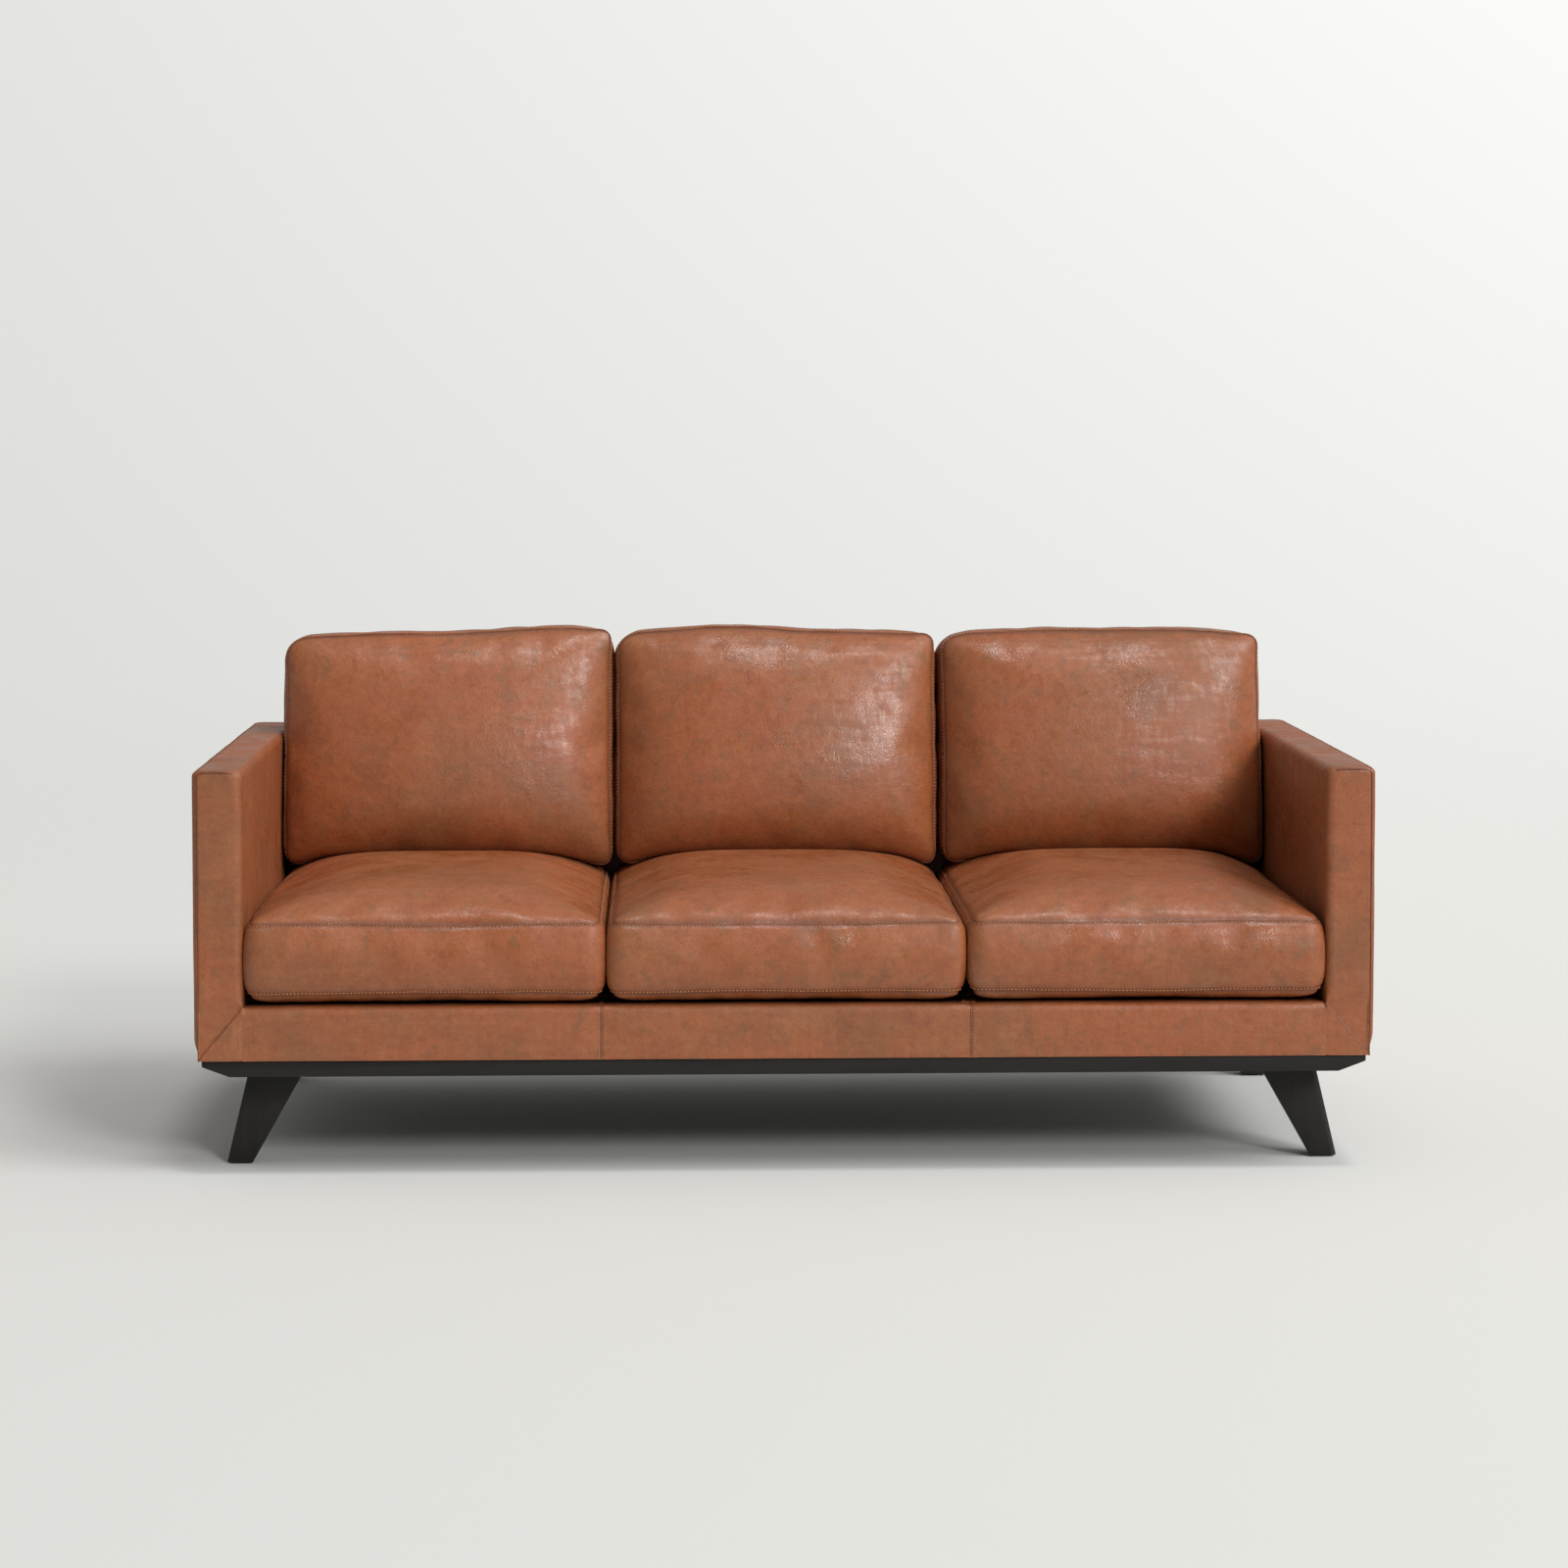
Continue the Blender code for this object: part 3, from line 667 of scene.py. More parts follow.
def makeBack(b):
    xs = marks(-b["half"], b["half"], 0.02, fine=(0.003,), extra=pairsOf(b))
    xs = sorted({x for x in xs if abs(abs(x) - b["frameHalf"]) > 0.002} | {-b["frameHalf"], b["frameHalf"]})
    ys = [0, 0.018, 0.045, 0.085, 0.115, 0.5, 0.885, 0.92, 0.95, 0.98, 1]  # front face to rear face
    bm = gridBox(xs, ys, marks(b["low"], b["top"], 0.016))
    floor = []
    for f in bm.faces:
        at = f.calc_center_median()
        if abs(at.z - b["low"]) < 1e-5 and abs(at.x) < b["frameHalf"] and ys[4] < at.y < ys[6]:
            floor.append(f)
    lifted = set(raised(bm, floor))
    roof = np.array([v in lifted for v in bm.verts])  # the top of the pocket that holds the back's frame
    p = points(bm)
    face = b["foot"] + np.maximum(p[:, 2] - b["bend"], 0) * b["lean"]
    q = np.stack([p[:, 0], face + p[:, 1] * (b["rear"] - face), p[:, 2]], axis=1)
    low = np.stack([np.full(len(q), -9.0), face, np.full(len(q), -9.0)], axis=1)
    rounded = roundCorners(q, low, (9, b["rear"], b["top"]), np.full(len(q), b["round"]))
    deep = (b["top"] - b["bend"]) * b["lean"]
    q[roof, 2] = b["top"] - b["wall"] + 0.0002
    q[roof, 1] = np.where(p[roof, 1] < 0.5, b["foot"] + b["wall"] + deep * 0.96, b["rear"] - b["wall"])
    q = np.where(roof[:, None], q, rounded)
    setPoints(bm, q)
    bm.normal_update()
    n = np.array([v.normal[:] for v in bm.verts])
    near = np.min([abs(q[:, 0] - x) for x in pairsOf(b)], axis=0)
    near = np.where(q[:, 1] > b["rear"] - 0.02, near, 9.0)
    topSeam = lineDistance(q * (0, 1, 1), (0, b["rear"], b["topSeam"]), (0, b["rear"], b["topSeam"] + 0.0001))
    near = np.minimum(near, topSeam)
    soft = groove(near, 0.0016, 0.0018, 0.0012) + 0.0016 * ripple(q, (4.0, 5.0, 5.0), 8.2)
    soft *= smoothStep((b["half"] - abs(q[:, 0])) / 0.03) * (~roof & (q[:, 2] > b["low"] + 0.004))
    setPoints(bm, q + n * soft[:, None])
    tree = surfaceOf(bm)
    back = makePiece("back_leather", bm, backLeather, "sofa_frame")
    # painted shade along the rear seams and the top seam
    paintSeam(back, np.exp(-(near / 0.004) ** 2))
    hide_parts("back_cover")
    threads, beads = bmesh.new(), bmesh.new()
    for s in b["seams"]:
        for x in (s - b["strip"] * 1.9, s + b["strip"] * 1.9):
            path = evenPath([(x, b["rear"], b["low"] + 0.002), (x, b["rear"], b["top"] - 0.014)], b["pitch"])
            stitches(threads, *laidOn(tree, path), b["pitch"], 0.0006, 0.8)
    path = evenPath([(-0.92, b["rear"], b["topSeam"]), (0.92, b["rear"], b["topSeam"])], 0.012)
    places, normals = laidOn(tree, path)
    addBead(beads, places + normals * 0.0006, 0.0013)
    makePiece("back_stitches", threads, finishes["thread"], "sofa_frame")
    makePiece("back_seam", beads, finishes["welt"], "sofa_frame")


backLeather = makeLeather("back_leather", (8.7, 3.3, 6.5), frameLook)
makeBack(backSpec)
print("back done")


seatSpec = {
    "half": (0.3022, 0.3862), "pitch": 0.6203, "round": 0.024, "seamsAt": (0.3150, 0.4350),
    "belly": 0.018, "bellyPower": 0.17, "crown": 0.049, "crownPower": (0.52, 0.33),
    "bulge": 0.0125, "corner": (0.0008, 0.0008), "apron": 0.006, "cap": 0.024,
    "deck": 0.2985, "side": 0.3100, "tallest": 0.060, "dipStart": 0.560, "dip": 0.231, "rearFace": 0.787,
    "seamDepth": 0.0034, "bead": 0.0014, "stitchOff": 0.0036, "thread": (0.0008, 0.0012), "zipSide": 1,
    "fill": 0.85, "seed": (10, 7),
}
backCushionSpec = {
    "half": (0.2985, 0.2025), "pitch": 0.6095, "round": 0.027, "seamsAt": (0.030, 0.155),
    "belly": 0.024, "bellyPower": 0.55, "crown": 0.054, "crownPower": (0.48, 0.42),
    "bulge": 0.0060, "corner": (0.0, 0.0065), "apron": 0.0, "cap": 0.026,
    "low": 0.466, "foot": 0.325, "bend": 0.293, "lean": math.radians(9), "aside": (0.001, 0.001, 0.003),
    "rise": 0.150, "tip": 0.05, "droop": 0.003, "sag": 0.10, "swell": 0.15, "swellAt": 0.30,
    "wider": ((-0.017, -0.001), (0.0, 0.002), (0.004, 0.010)),  # how much farther out each side stands
    "seamDepth": 0.0022, "bead": 0.0013, "stitchOff": 0.0042, "thread": (0.0009, 0.0009), "zipSide": -1,
    "fill": 0.75, "seed": (50, 9),
    "tops": (  # how far the top edge stands above or below level, from left to right
        ((-1, -0.021), (-0.86, -0.009), (-0.5, -0.003), (0, -0.001), (0.4, 0.004), (0.75, 0.007), (1, 0)),
        ((-1, -0.013), (-0.85, -0.002), (-0.45, 0.007), (-0.1, 0.007), (0.15, 0.001), (0.6, -0.002),
         (1, -0.008)),
        ((-1, -0.015), (-0.8, -0.005), (-0.4, 0.001), (0.4, 0.002), (0.7, -0.001), (1, -0.011)),
    ),
}
clothSpec = {"step": 0.0125, "frames": 20, "pressure": 4.0, "slack": -0.010}
sideNames = ("left", "middle", "right")
stitchPitch = 0.0064


def cushionGrid(size, step):
    # a unit box cut finely, with its grid closer together towards the seams
    lines = []
    for length in size:
        count = max(6, round(length / step))
        t = np.linspace(-1, 1, count + 1)
        line = np.sin(t * 1.25) / math.sin(1.25)
        line[0], line[-1] = -1, 1
        lines.append(line)
    return gridBox(*lines)


def roundPlan(a, b, half, r):
    # a rectangle's corners drawn in to quarter circles
    x, y = abs(a), abs(b)
    u = np.clip((x - (half[0] - r)) / r, 0, 1)
    v = np.clip((y - (half[1] - r)) / r, 0, 1)
    both = (u > 0) & (v > 0)
    x = np.where(both, half[0] - r + r * u * np.sqrt(1 - v * v / 2), x)
    y = np.where(both, half[1] - r + r * v * np.sqrt(1 - u * u / 2), y)
    return np.sign(a) * x, np.sign(b) * y


def pillowed(unit, spec, seed):
    # the sewn form before it is filled: two panels and a band between their seams
    u, v, w = unit.T
    half = spec["half"]
    low, high = spec["seamsAt"]
    x, y = roundPlan(u * half[0], v * half[1], half, spec["round"])
    z = low + (w + 1) / 2 * (high - low)
    domes = np.clip(1 - abs(u) ** 2.3, 0, 1), np.clip(1 - abs(v) ** 2.3, 0, 1)
    dome = domes[0] ** spec["crownPower"][0] * domes[1] ** spec["crownPower"][1]
    z = np.where(w > 0.999, high + spec["crown"] * dome, z)
    z = np.where(w < -0.999, low - spec["belly"] * (domes[0] * domes[1]) ** spec["bellyPower"], z)
    plan = np.stack([x, y], axis=1)
    core = np.asarray(half) - spec["round"]
    away = plan - np.clip(plan, -core, core)
    away /= np.maximum(np.linalg.norm(away, axis=1, keepdims=True), 1e-9)
    onBand = (abs(u) > 0.999) | (abs(v) > 0.999)
    out = spec["bulge"] * np.clip(1 - w * w, 0, 1) ** 0.7 * (onBand & (abs(w) < 0.9995))
    p = np.stack([x + away[:, 0] * out, y + away[:, 1] * out, z], axis=1)
    seam = onBand & (abs(w) > 0.999)
    flat = np.stack([x, y, w * 0.1], axis=1)
    wave = ripple(flat, (5.5, 5.5, 5.5), seed)
    side = ripple(flat, (7.5, 7.5, 5.5), seed + 31)
    nearSeam = np.exp(-((1 - abs(w)) * (high - low) / 2 / 0.035) ** 2)
    p[:, 2] += 0.0034 * wave * nearSeam * onBand
    p[:, :2] += away * (0.0020 * side * onBand)[:, None]
    corner = np.exp(-(((half[0] - abs(x)) / 0.03) ** 2 + ((half[1] - abs(y)) / 0.03) ** 2))
    p[:, :2] += np.sign(plan) * (np.where(x < 0, *spec["corner"]) * corner * seam)[:, None]
    p[:, 1] -= spec["apron"] * (1 - w) / 2 * smoothStep(-y / half[1])  # the lower front edge stands out
    return p, seam


def clothReady(bm, seam):
    # a cloth copy of a cushion, held along its seams and blown up by pressure
    mesh = bpy.data.meshes.new("filling")
    bm.to_mesh(mesh)
    obj = bpy.data.objects.new("filling", mesh)
    bpy.context.scene.collection.objects.link(obj)
    pins = obj.vertex_groups.new(name="pins")
    pins.add([int(i) for i in np.flatnonzero(seam)], 1.0, "REPLACE")
    cloth = obj.modifiers.new("cloth", "CLOTH")
    s = cloth.settings
    s.quality, s.mass, s.vertex_group_mass, s.pin_stiffness = 4, 0.35, "pins", 1.0
    s.tension_stiffness = s.compression_stiffness = 18
    s.shear_stiffness, s.bending_stiffness = 9, 1.2
    s.use_pressure, s.uniform_pressure_force = True, clothSpec["pressure"]
    s.shrink_min = clothSpec["slack"]
    s.effector_weights.gravity = 0
    cloth.collision_settings.use_collision = False
    cloth.collision_settings.use_self_collision = False
    cloth.point_cache.frame_start, cloth.point_cache.frame_end = 1, clothSpec["frames"]
    return obj


def settle(objects):
    # run the cloth, and return where every point ends
    scene = bpy.context.scene
    for number in range(1, clothSpec["frames"] + 1):
        scene.frame_set(number)
    ends = []
    graph = bpy.context.evaluated_depsgraph_get()
    for obj in objects:
        made = obj.evaluated_get(graph)
        co = np.zeros(len(made.data.vertices) * 3)
        made.data.vertices.foreach_get("co", co)
        ends.append(co.reshape(-1, 3))
    scene.frame_set(1)
    for obj in objects:
        mesh = obj.data
        bpy.data.objects.remove(obj, do_unlink=True)
        bpy.data.meshes.remove(mesh)
    return ends


def softMax(value, limit, soft):
    return soft * np.logaddexp(value / soft, limit / soft)


def softMin(value, limit, soft):
    return -soft * np.logaddexp(-value / soft, -limit / soft)


def capped(start, end, cap):
    # the simulated move, held below a cap
    move = end - start
    far = np.linalg.norm(move, axis=1, keepdims=True)
    return start + move * np.where(far > 1e-9, cap * np.tanh(far / cap) / np.maximum(far, 1e-9), 1)


def evened(bm, p, keep):
    # even out the simulation's faceting, away from the seams
    edges = np.array([[e.verts[0].index, e.verts[1].index] for e in bm.edges])
    count = np.bincount(edges.ravel(), minlength=len(p))[:, None]
    for i in range(2):
        total = np.zeros_like(p)
        np.add.at(total, edges[:, 0], p[edges[:, 1]])
        np.add.at(total, edges[:, 1], p[edges[:, 0]])
        p = np.where(keep[:, None], p, p * 0.5 + total / count * 0.5)
    return p


def fillCushions():
    # all six are filled in one run of the cloth
    cushions = []
    for n in range(3):
        for spec in (seatSpec, backCushionSpec):
            low, high = spec["seamsAt"]
            bm = cushionGrid((2 * spec["half"][0], 2 * spec["half"][1], high - low), clothSpec["step"])
            unit = points(bm)
            first, apart = spec["seed"]
            p, seam = pillowed(unit, spec, first + apart * n)
            setPoints(bm, p)
            cushions.append({"bm": bm, "unit": unit, "start": p, "seam": seam, "spec": spec, "n": n})
    ends = settle([clothReady(c["bm"], c["seam"]) for c in cushions])
    for c, end in zip(cushions, ends):
        c["bm"].verts.ensure_lookup_table()
        c["bm"].verts.index_update()
        c["p"] = evened(c["bm"], capped(c["start"], end, c["spec"]["cap"]), c["seam"])
    return cushions[::2], cushions[1::2]


def pullSeams(c, depth):
    # stitching draws the seam line in a little
    c["bm"].normal_update()
    n = np.array([v.normal[:] for v in c["bm"].verts])
    c["p"] = c["p"] - n * (depth * c["seam"])[:, None]
    setPoints(c["bm"], c["p"])


def placeSeat(c):
    # between its neighbours, on the deck, and dipping under the back cushion
    s, p, w = c["spec"], c["p"].copy(), c["unit"][:, 2]
    side = s["side"] + (0.0 if c["n"] == 1 else 0.0002)
    p[:, 0] = softMin(p[:, 0], side, 0.0012)
    p[:, 0] = -softMin(-p[:, 0], side, 0.0012)
    p[:, 0] += (c["n"] - 1) * s["pitch"]
    deep = softMin(p[:, 1] + s["half"][1] + 0.003, s["rearFace"], 0.003)  # from the front of the sofa
    limit = s["seamsAt"][1] + s["tallest"] - np.maximum(deep - s["dipStart"], 0) * s["dip"]
    p[:, 2] = np.where(w > -0.9, softMin(p[:, 2], limit, 0.004), p[:, 2])
    p[:, 2] = softMax(p[:, 2], s["deck"], 0.0015)
    p[:, 1] = front + deep
    c["p"] = p


def placeBack(c, seatTree):
    # leaning on the back, with its low edge resting on the seat cushions
    b, p = c["spec"], c["p"]
    tall = 2 * b["half"][1]
    across, up = p[:, 0] / b["half"][0], p[:, 1] + b["half"][1]
    level, lift = zip(*b["tops"][c["n"]])
    up = up + np.interp(p[:, 0] / (b["half"][0] + 0.006), level, lift) * np.clip(up / tall, 0, 1) ** 3
    t = np.clip(up / tall, 0, 1)
    forward = softMax(p[:, 2], 0.0012, 0.0015)
    forward *= 1 + b["sag"] * (1 - t) ** 1.3 + b["swell"] * t / b["swellAt"] * np.exp(1 - t / b["swellAt"])
    foot = b["foot"] + (b["low"] - b["bend"]) * math.tan(b["lean"]) - 0.0015
    wide = b["wider"][c["n"]]
    corner = np.exp(-((b["half"][0] - abs(p[:, 0])) / 0.05) ** 2) * np.clip(1 - up / 0.07, 0, 1)
    sideways = (c["n"] - 1) * b["pitch"] + b["aside"][c["n"]]
    rising = forward * (b["tip"] - (b["tip"] + b["rise"]) * up / tall)
    q = np.stack([
        sideways + p[:, 0] + np.interp(across, (-1, 0, 1), (wide[0], 0.0, wide[1])),
        foot + up * math.sin(b["lean"]) - forward * math.cos(b["lean"]),
        b["low"] + up * math.cos(b["lean"]) - b["droop"] * corner - rising], axis=1)
    for i in np.flatnonzero(up < 0.09):
        hit = seatTree.ray_cast(Vector((q[i, 0], q[i, 1], 2.0)), Vector((0, 0, -1)))
        if hit[0]:
            q[i, 2] = softMax(q[i, 2], hit[0].z + 0.0012, 0.002)
    c["p"] = q


def seamLoops(c):
    # the two seams, the front or top one first, each as a closed run of points in order
    u, v, w = c["unit"].T
    loops = []
    for end in (1, -1):
        on = [int(i) for i in np.flatnonzero(c["seam"] & (w * end > 0.999))]
        loops.append(sorted(on, key=lambda i: math.atan2(v[i], u[i])))
    return loops


zipSpec = {
    "half": 0.0070, "pitch": 0.0032, "lift": 0.0010, "thick": 0.0007, "reach": 0.80,
    "tooth": (0.0016, 0.0036, 0.0013), "slider": (0.0110, 0.0080, 0.0042), "tab": (0.0200, 0.0056, 0.0012),
}


def bevelEdges(bm, edges, width, segments):
    bmesh.ops.bevel(
        bm, geom=edges, offset=width, segments=segments, profile=0.5, affect="EDGES", material=-1,
        clamp_overlap=True)


def placed(bm, size, at, along, normal, ease=0.0):
    # a small block lying on a surface
    side = normal.cross(along).normalized()
    turn = Matrix((along, side, normal)).transposed().to_4x4()
    matrix = Matrix.Translation(at) @ turn @ Matrix.Diagonal((*size, 1))
    made = bmesh.ops.create_cube(bm, size=1.0, matrix=matrix)
    if ease:
        edges = list(dict.fromkeys(e for v in made["verts"] for e in v.link_edges))
        bevelEdges(bm, edges, ease, 2)


def makeZip(c, name, tree, z):
    u, v, w = c["unit"].T
    on = np.flatnonzero((v * c["spec"]["zipSide"] > 0.999) & (abs(w) < 0.02) & (abs(u) < z["reach"]))
    path = evenPath(c["p"][on[np.argsort(u[on])]], z["pitch"])
    across = Vector(c["axis"]).normalized()
    tape, teeth = bmesh.new(), bmesh.new()
    rows = []
    for i, q in enumerate(path):
        at, n = tree.find_nearest(Vector(q))[:2]
        row = []
        for way, lift in ((1, 0), (1, z["thick"]), (-1, z["thick"]), (-1, 0)):
            hit = tree.find_nearest(at + across * way * z["half"])
            row.append(tape.verts.new(hit[0] + hit[1] * (z["lift"] + lift)))
        rows.append(row)
        along = (Vector(path[min(i + 1, len(path) - 1)]) - Vector(path[max(i - 1, 0)])).normalized()
        up = (n - along * n.dot(along)).normalized()
        top = at + up * (z["lift"] + z["thick"])
        placed(teeth, z["tooth"], top + across * (0.0006 if i % 2 else -0.0006), along, up)
        if i == 5:
            placed(teeth, z["slider"], top + up * 0.0012, along, up, 0.0009)
            placed(teeth, z["tab"], top + up * 0.0040 + along * 0.0085, along, up, 0.0005)
    for a, b in zip(rows, rows[1:]):
        for i in range(4):
            tape.faces.new((a[i], a[(i + 1) % 4], b[(i + 1) % 4], b[i]))
    tape.faces.new(rows[0])
    tape.faces.new(rows[-1])
    bmesh.ops.recalc_face_normals(tape, faces=tape.faces)
    piece = makePiece(f"{name}_zip_tape", tape, finishes["tape"], name, 40)
    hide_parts(f"{name}_zip")
    makePiece(f"{name}_zip_teeth", teeth, finishes["brass"], name, 40)


def sewCushion(c, name, leather):
    bm, spec = c["bm"], c["spec"]
    setPoints(bm, c["p"])
    pullSeams(c, spec["seamDepth"])
    p, loops = c["p"], seamLoops(c)
    crease = bm.edges.layers.float.new("crease_edge")
    inSeam = set(np.flatnonzero(c["seam"]).tolist())
    for e in bm.edges:
        if e.verts[0].index in inSeam and e.verts[1].index in inSeam:
            e[crease] = 0.75
    tree = surfaceOf(bm)
    beads, threads = bmesh.new(), bmesh.new()
    for loop, way, thick in zip(loops, (-1, 1), spec["thread"]):
        path = evenPath(p[loop], 0.006, closed=True)
        addBead(beads, path, spec["bead"], closed=True)
        row = evenPath(path + c["axis"] * way * spec["stitchOff"], stitchPitch, closed=True)
        stitches(threads, *laidOn(tree, row), stitchPitch, thick, 0.75)
    kd = KDTree(len(loops[0]) + len(loops[1]))
    for i in loops[0] + loops[1]:
        kd.insert(Vector(p[i]), i)
    kd.balance()
    near = np.array([kd.find(Vector(q))[2] for q in p])
    makeZip(c, name, tree, zipSpec)
    piece = makePiece(f"{name}_leather", bm, leather, name)
    # painted shade along both seams
    paintSeam(piece, np.exp(-(near / 0.0055) ** 2))
    softer = piece.modifiers.new("subsurf", "SUBSURF")
    softer.levels = softer.render_levels = 1
    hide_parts(f"{name}_cover", f"{name}_core")
    makePiece(f"{name}_seams", beads, finishes["welt"], name)
    makePiece(f"{name}_stitches", threads, finishes["thread"], name)


def makeCushions():
    seats, backs = fillCushions()
    print("cushions filled")
    verts, faces = [], []
    for c in seats:
        c["axis"] = np.array([0, 0, 1.0])
        placeSeat(c)
        faces += [[v.index + len(verts) for v in f.verts] for f in c["bm"].faces]
        verts += [Vector(q) for q in c["p"]]
        name = f"seat_cushion_{sideNames[c['n']]}"
        leather = makeLeather(f"{name}_leather_finish", (1.3 + 2.9 * c["n"], 4.4, 0.7 * c["n"]), leatherLook)
        sewCushion(c, name, leather)
    print("seat cushions sewn")
    seatTree = BVHTree.FromPolygons(verts, faces)
    lean = backCushionSpec["lean"]
    for c in backs:
        c["axis"] = np.array([0, -math.cos(lean), -0.05])
        placeBack(c, seatTree)
        name = f"back_cushion_{sideNames[c['n']]}"
        leather = makeLeather(f"{name}_leather_finish", (6.3 + 3.7 * c["n"], 1.4, 2.9 + c["n"]), leatherLook)
        sewCushion(c, name, leather)
    print("back cushions sewn")


makeCushions()


def copyOf(node):
    # a clean copy of a solid, with its triangles joined back into flat faces
    bm = bmesh.new()
    bm.from_mesh(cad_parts[node].data)
    bmesh.ops.remove_doubles(bm, verts=bm.verts, dist=1e-6)
    bmesh.ops.dissolve_limit(bm, angle_limit=0.01, verts=bm.verts, edges=bm.edges, delimit={"NORMAL"})
    return bm


def easeEdges(node, name, finish, width, segments=2):
    # the solid with its sharp edges eased
    bm = copyOf(node)
    sharp = [e for e in bm.edges if len(e.link_faces) == 2 and e.calc_face_angle(0) > 0.35]
    bevelEdges(bm, sharp, width, segments)
    piece = makePiece(name, bm, finish, "sofa_frame", 35)
    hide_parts(node)
    return piece


for node, finish in (
    ("front_plinth_rail", "woodAcross"), ("rear_plinth_rail", "woodAcross"),
    ("left_plinth_board", "woodBack"), ("right_plinth_board", "woodBack"),
):
    easeEdges(node, f"{node}_stained", finishes[finish], 0.0012)
for row in ("front", "rear"):
    for side in ("left", "right"):
        corner = f"{row}_{side}"
        easeEdges(f"{corner}_leg", f"{corner}_leg_stained", finishes["woodUp"], 0.0014)
        easeEdges(f"{corner}_glide", f"{corner}_glide_turned", finishes["nylon"], 0.0004, 1)
        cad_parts[f"{corner}_leg_bolt"].data.materials[0] = finishes["steel"]
print("plinth and legs done")

for name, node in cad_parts.items():
    if "spring" in name:
        node.data.materials[0] = finishes["steel"]
    elif name.endswith(("_frame", "_seat_rail", "_stretcher")):
        node.data.materials[0] = finishes["timber"]
    elif name == "dust_cover":
        node.data.materials[0] = finishes["dust"]


deckSpec = {"grid": 0.020, "soft": 0.0018, "uneven": 0.0008, "inset": 0.012, "pitch": 0.009, "thread": 0.0006}


def makeDeck(d):
    # the felted deck under the cushions, with a row of stitches over the front and rear rails
    low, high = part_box("seat_deck")
    edges = (0.003, 0.008)
    bm = gridBox(
        marks(low.x, high.x, d["grid"], fine=edges), marks(low.y, high.y, d["grid"], fine=edges),
        [low.z, low.z + 0.003, high.z - 0.0015, high.z])
    p = points(bm)
    top = p[:, 2] > high.z - 0.0005
    edge = np.minimum(high.x - abs(p[:, 0]), np.minimum(p[:, 1] - low.y, high.y - p[:, 1]))
    hollow = d["soft"] * np.exp(-(edge / 0.006) ** 2)
    hollow += d["uneven"] * (ripple(p, (9.0, 9.0, 1.0), 2.0) + 1) / 2
    p[:, 2] -= top * hollow
    setPoints(bm, p)
    deck = makePiece("seat_deck_felt", bm, finishes["deck"], "sofa_frame")
    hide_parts("seat_deck")
    threads = bmesh.new()
    for y in (low.y + d["inset"], high.y - d["inset"]):
        path = evenPath([(low.x + 0.01, y, high.z), (high.x - 0.01, y, high.z)], d["pitch"])
        stitches(threads, path, [(0, 0, 1)] * len(path), d["pitch"], d["thread"], -0.4)
    makePiece("seat_deck_stitches", threads, finishes["thread"], "sofa_frame")


makeDeck(deckSpec)
print("inner parts done")


lampSpec = {  # three large soft lamps far away
    "key": {"from": (0.62, -0.36, 0.72), "angle": 33, "power": 1.42},
    "box": {"from": (0.46, -0.77, 0.46), "angle": 14, "power": 1.15},
    "top": {"from": (0.12, -0.20, 1.0), "angle": 10, "power": 0.66},
}
roomSpec = {
    "ambient": 0.37, "lit": (1.0, 0.99, 0.97, 1), "seen": (1.0, 1.0, 0.975, 1), "level": 0.812,
    "aside": (-0.25, 0.30), "height": (-0.12, 0.15),  # the part of the backdrop over which its level changes
    # the floor is painted darker on the left and lighter on the right: painted light falloff from the lamps
    # on the right
    "floorLeftPaintedShade": shade(0.655, 0.655, 0.635), "floorRightPaintedLight": shade(0.755, 0.755, 0.730), "floorHalf": 2.6,
    "fade": (3.0, 11.0), "radius": 14.0,
}


def makeLamp(name, spec):
    data = bpy.data.lights.new(name, "SUN")
    data.angle, data.energy = math.radians(spec["angle"]), spec["power"]
    obj = bpy.data.objects.new(name, data)
    obj.rotation_euler = Vector(spec["from"]).to_track_quat("Z", "Y").to_euler()
    bpy.context.scene.collection.objects.link(obj)


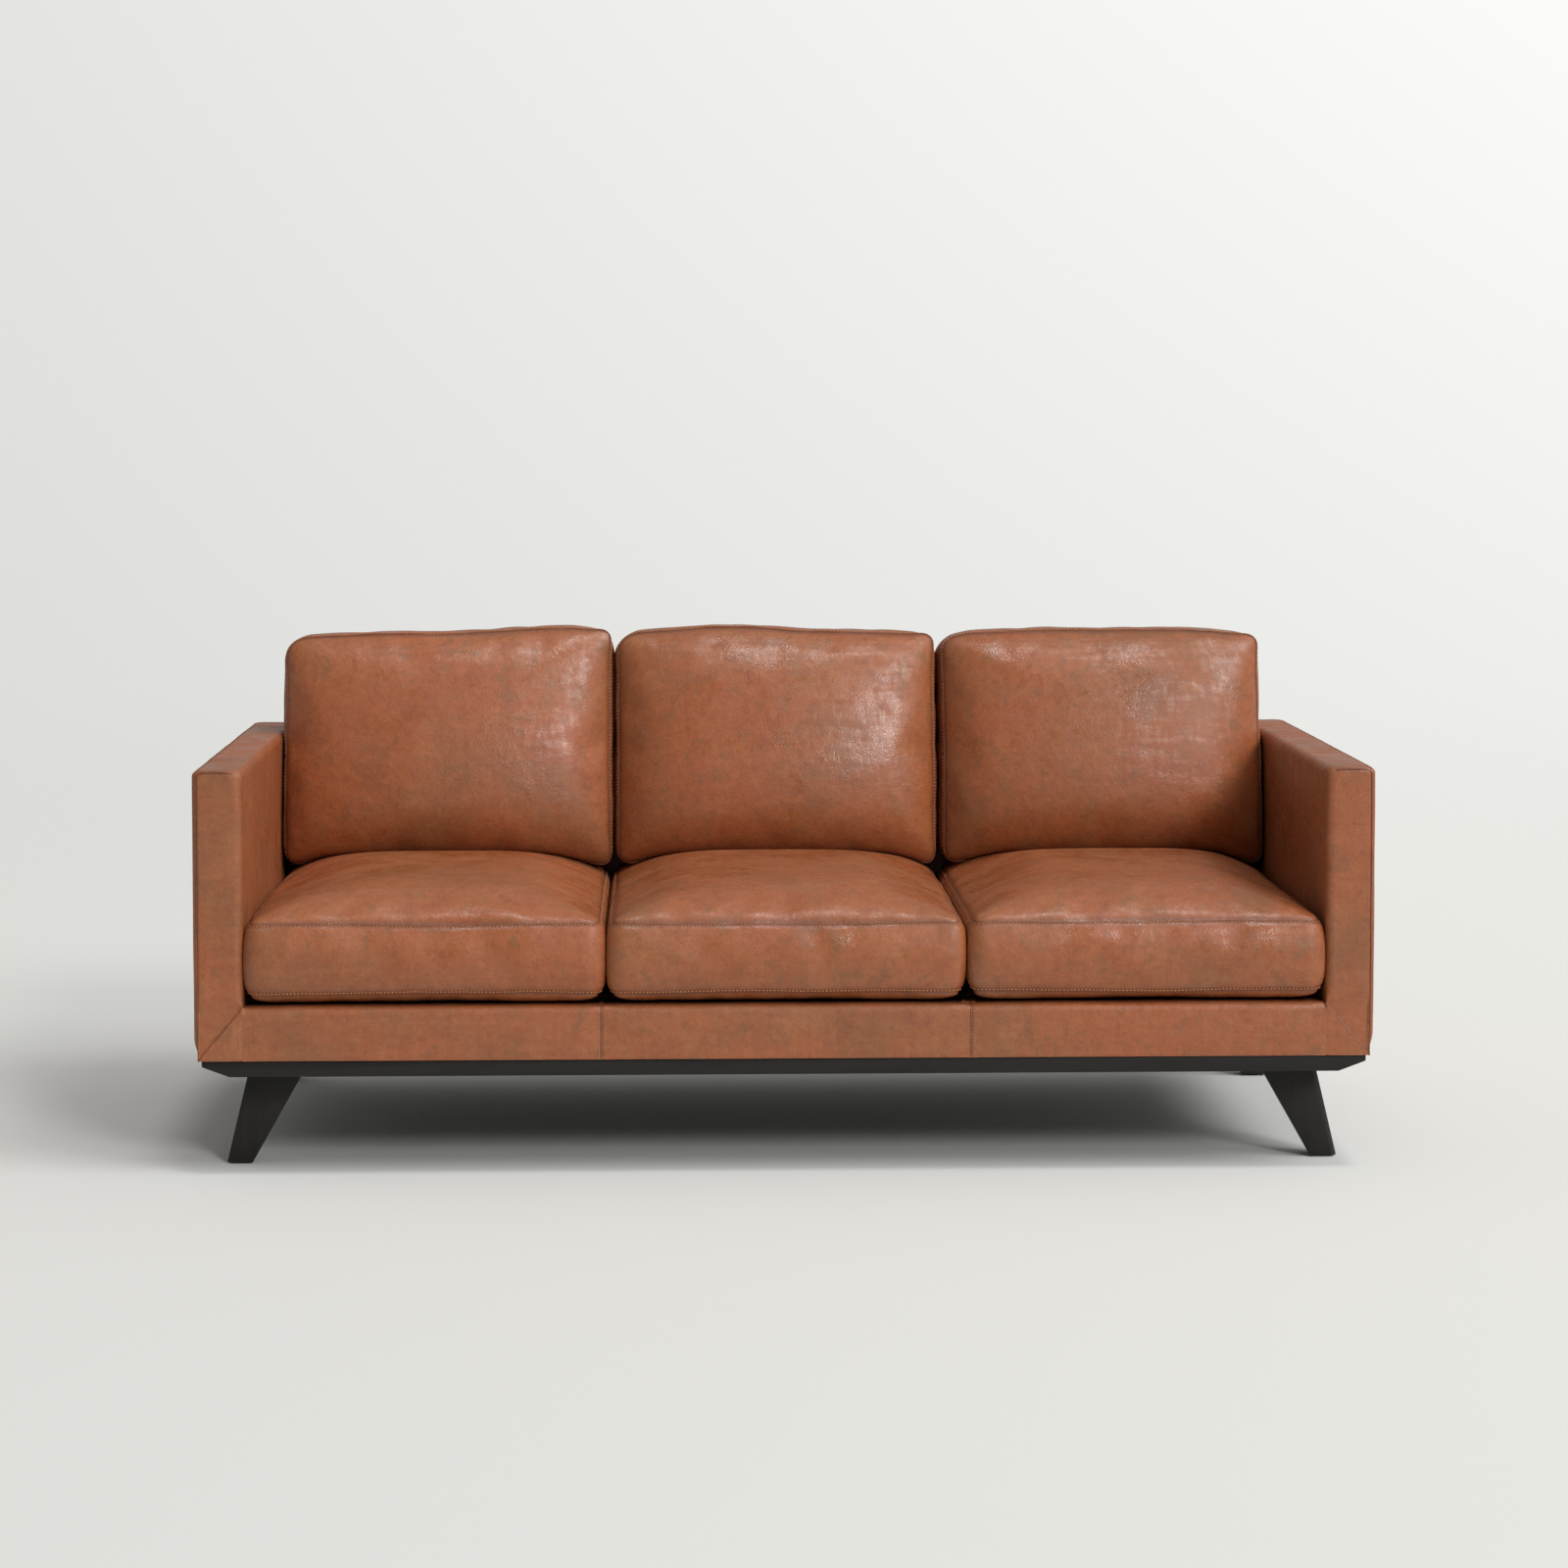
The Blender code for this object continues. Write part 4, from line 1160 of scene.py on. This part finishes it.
def makeWorld(r):
    # the backdrop that is seen, with painted light that grows brighter to the right and upward, and a plainer
    # room that lights the sofa
    world = bpy.data.worlds.new("studio")
    world.use_nodes = True
    tree = world.node_tree
    seen = tree.nodes["Background"]
    lit = tree.nodes.new("ShaderNodeBackground")
    towards = tree.nodes.new("ShaderNodeSeparateXYZ")
    tree.links.new(tree.nodes.new("ShaderNodeTexCoord").outputs["Generated"], towards.inputs[0])
    wide, tall = Wire(tree, towards.outputs[0]), Wire(tree, towards.outputs[2])
    x, z = wide.least(r["aside"][1]).most(r["aside"][0]), tall.least(r["height"][1]).most(r["height"][0])
    # painted light: the seen backdrop's level rises to the right and upward
    level = r["level"] + x * 0.38 + z * (0.44 + x * 0.85)
    tree.links.new(level.socket, seen.inputs[1])
    seen.inputs[0].default_value = r["seen"]
    glow = r["ambient"] * (1.0 + wide * 0.45 + tall * 0.15)
    tree.links.new(glow.socket, lit.inputs[1])
    lit.inputs[0].default_value = r["lit"]
    path = tree.nodes.new("ShaderNodeLightPath")
    mix = tree.nodes.new("ShaderNodeMixShader")
    tree.links.new(path.outputs["Is Camera Ray"], mix.inputs[0])
    tree.links.new(lit.outputs[0], mix.inputs[1])
    tree.links.new(seen.outputs[0], mix.inputs[2])
    tree.links.new(mix.outputs[0], tree.nodes["World Output"].inputs[0])
    bpy.context.scene.world = world


def makeFloor(r):
    bm = bmesh.new()
    bmesh.ops.create_circle(bm, cap_ends=True, segments=96, radius=r["radius"])
    mesh = bpy.data.meshes.new("studio_floor")
    bm.to_mesh(mesh)
    bm.free()
    floor = bpy.data.objects.new("studio_floor", mesh)
    bpy.context.scene.collection.objects.link(floor)
    f = Finish("studio_floor")
    # painted light: the floor's colour goes from darker on the left to lighter on the right
    aside = f.node("ShaderNodeSeparateXYZ", None, {0: f.coords})
    aside = f.step(aside, -r["floorHalf"], r["floorHalf"])
    f.put("Base Color", f.blend(aside, r["floorLeftPaintedShade"], r["floorRightPaintedLight"]))
    f.put("Roughness", 0.95)
    f.put("Specular IOR Level", 0.1)
    far = f.node("ShaderNodeVectorMath", {"operation": "LENGTH"}, {0: f.coords}, out=1)
    f.put("Alpha", f.step(far, *r["fade"], 1.0, 0.0))  # fades into the backdrop
    mesh.materials.append(f.material)


for name, spec in lampSpec.items():
    makeLamp(f"{name}_light", spec)
makeWorld(roomSpec)
makeFloor(roomSpec)
bpy.context.scene.view_settings.view_transform = "Standard"  # plain display of the colours
print("lights and floor done")
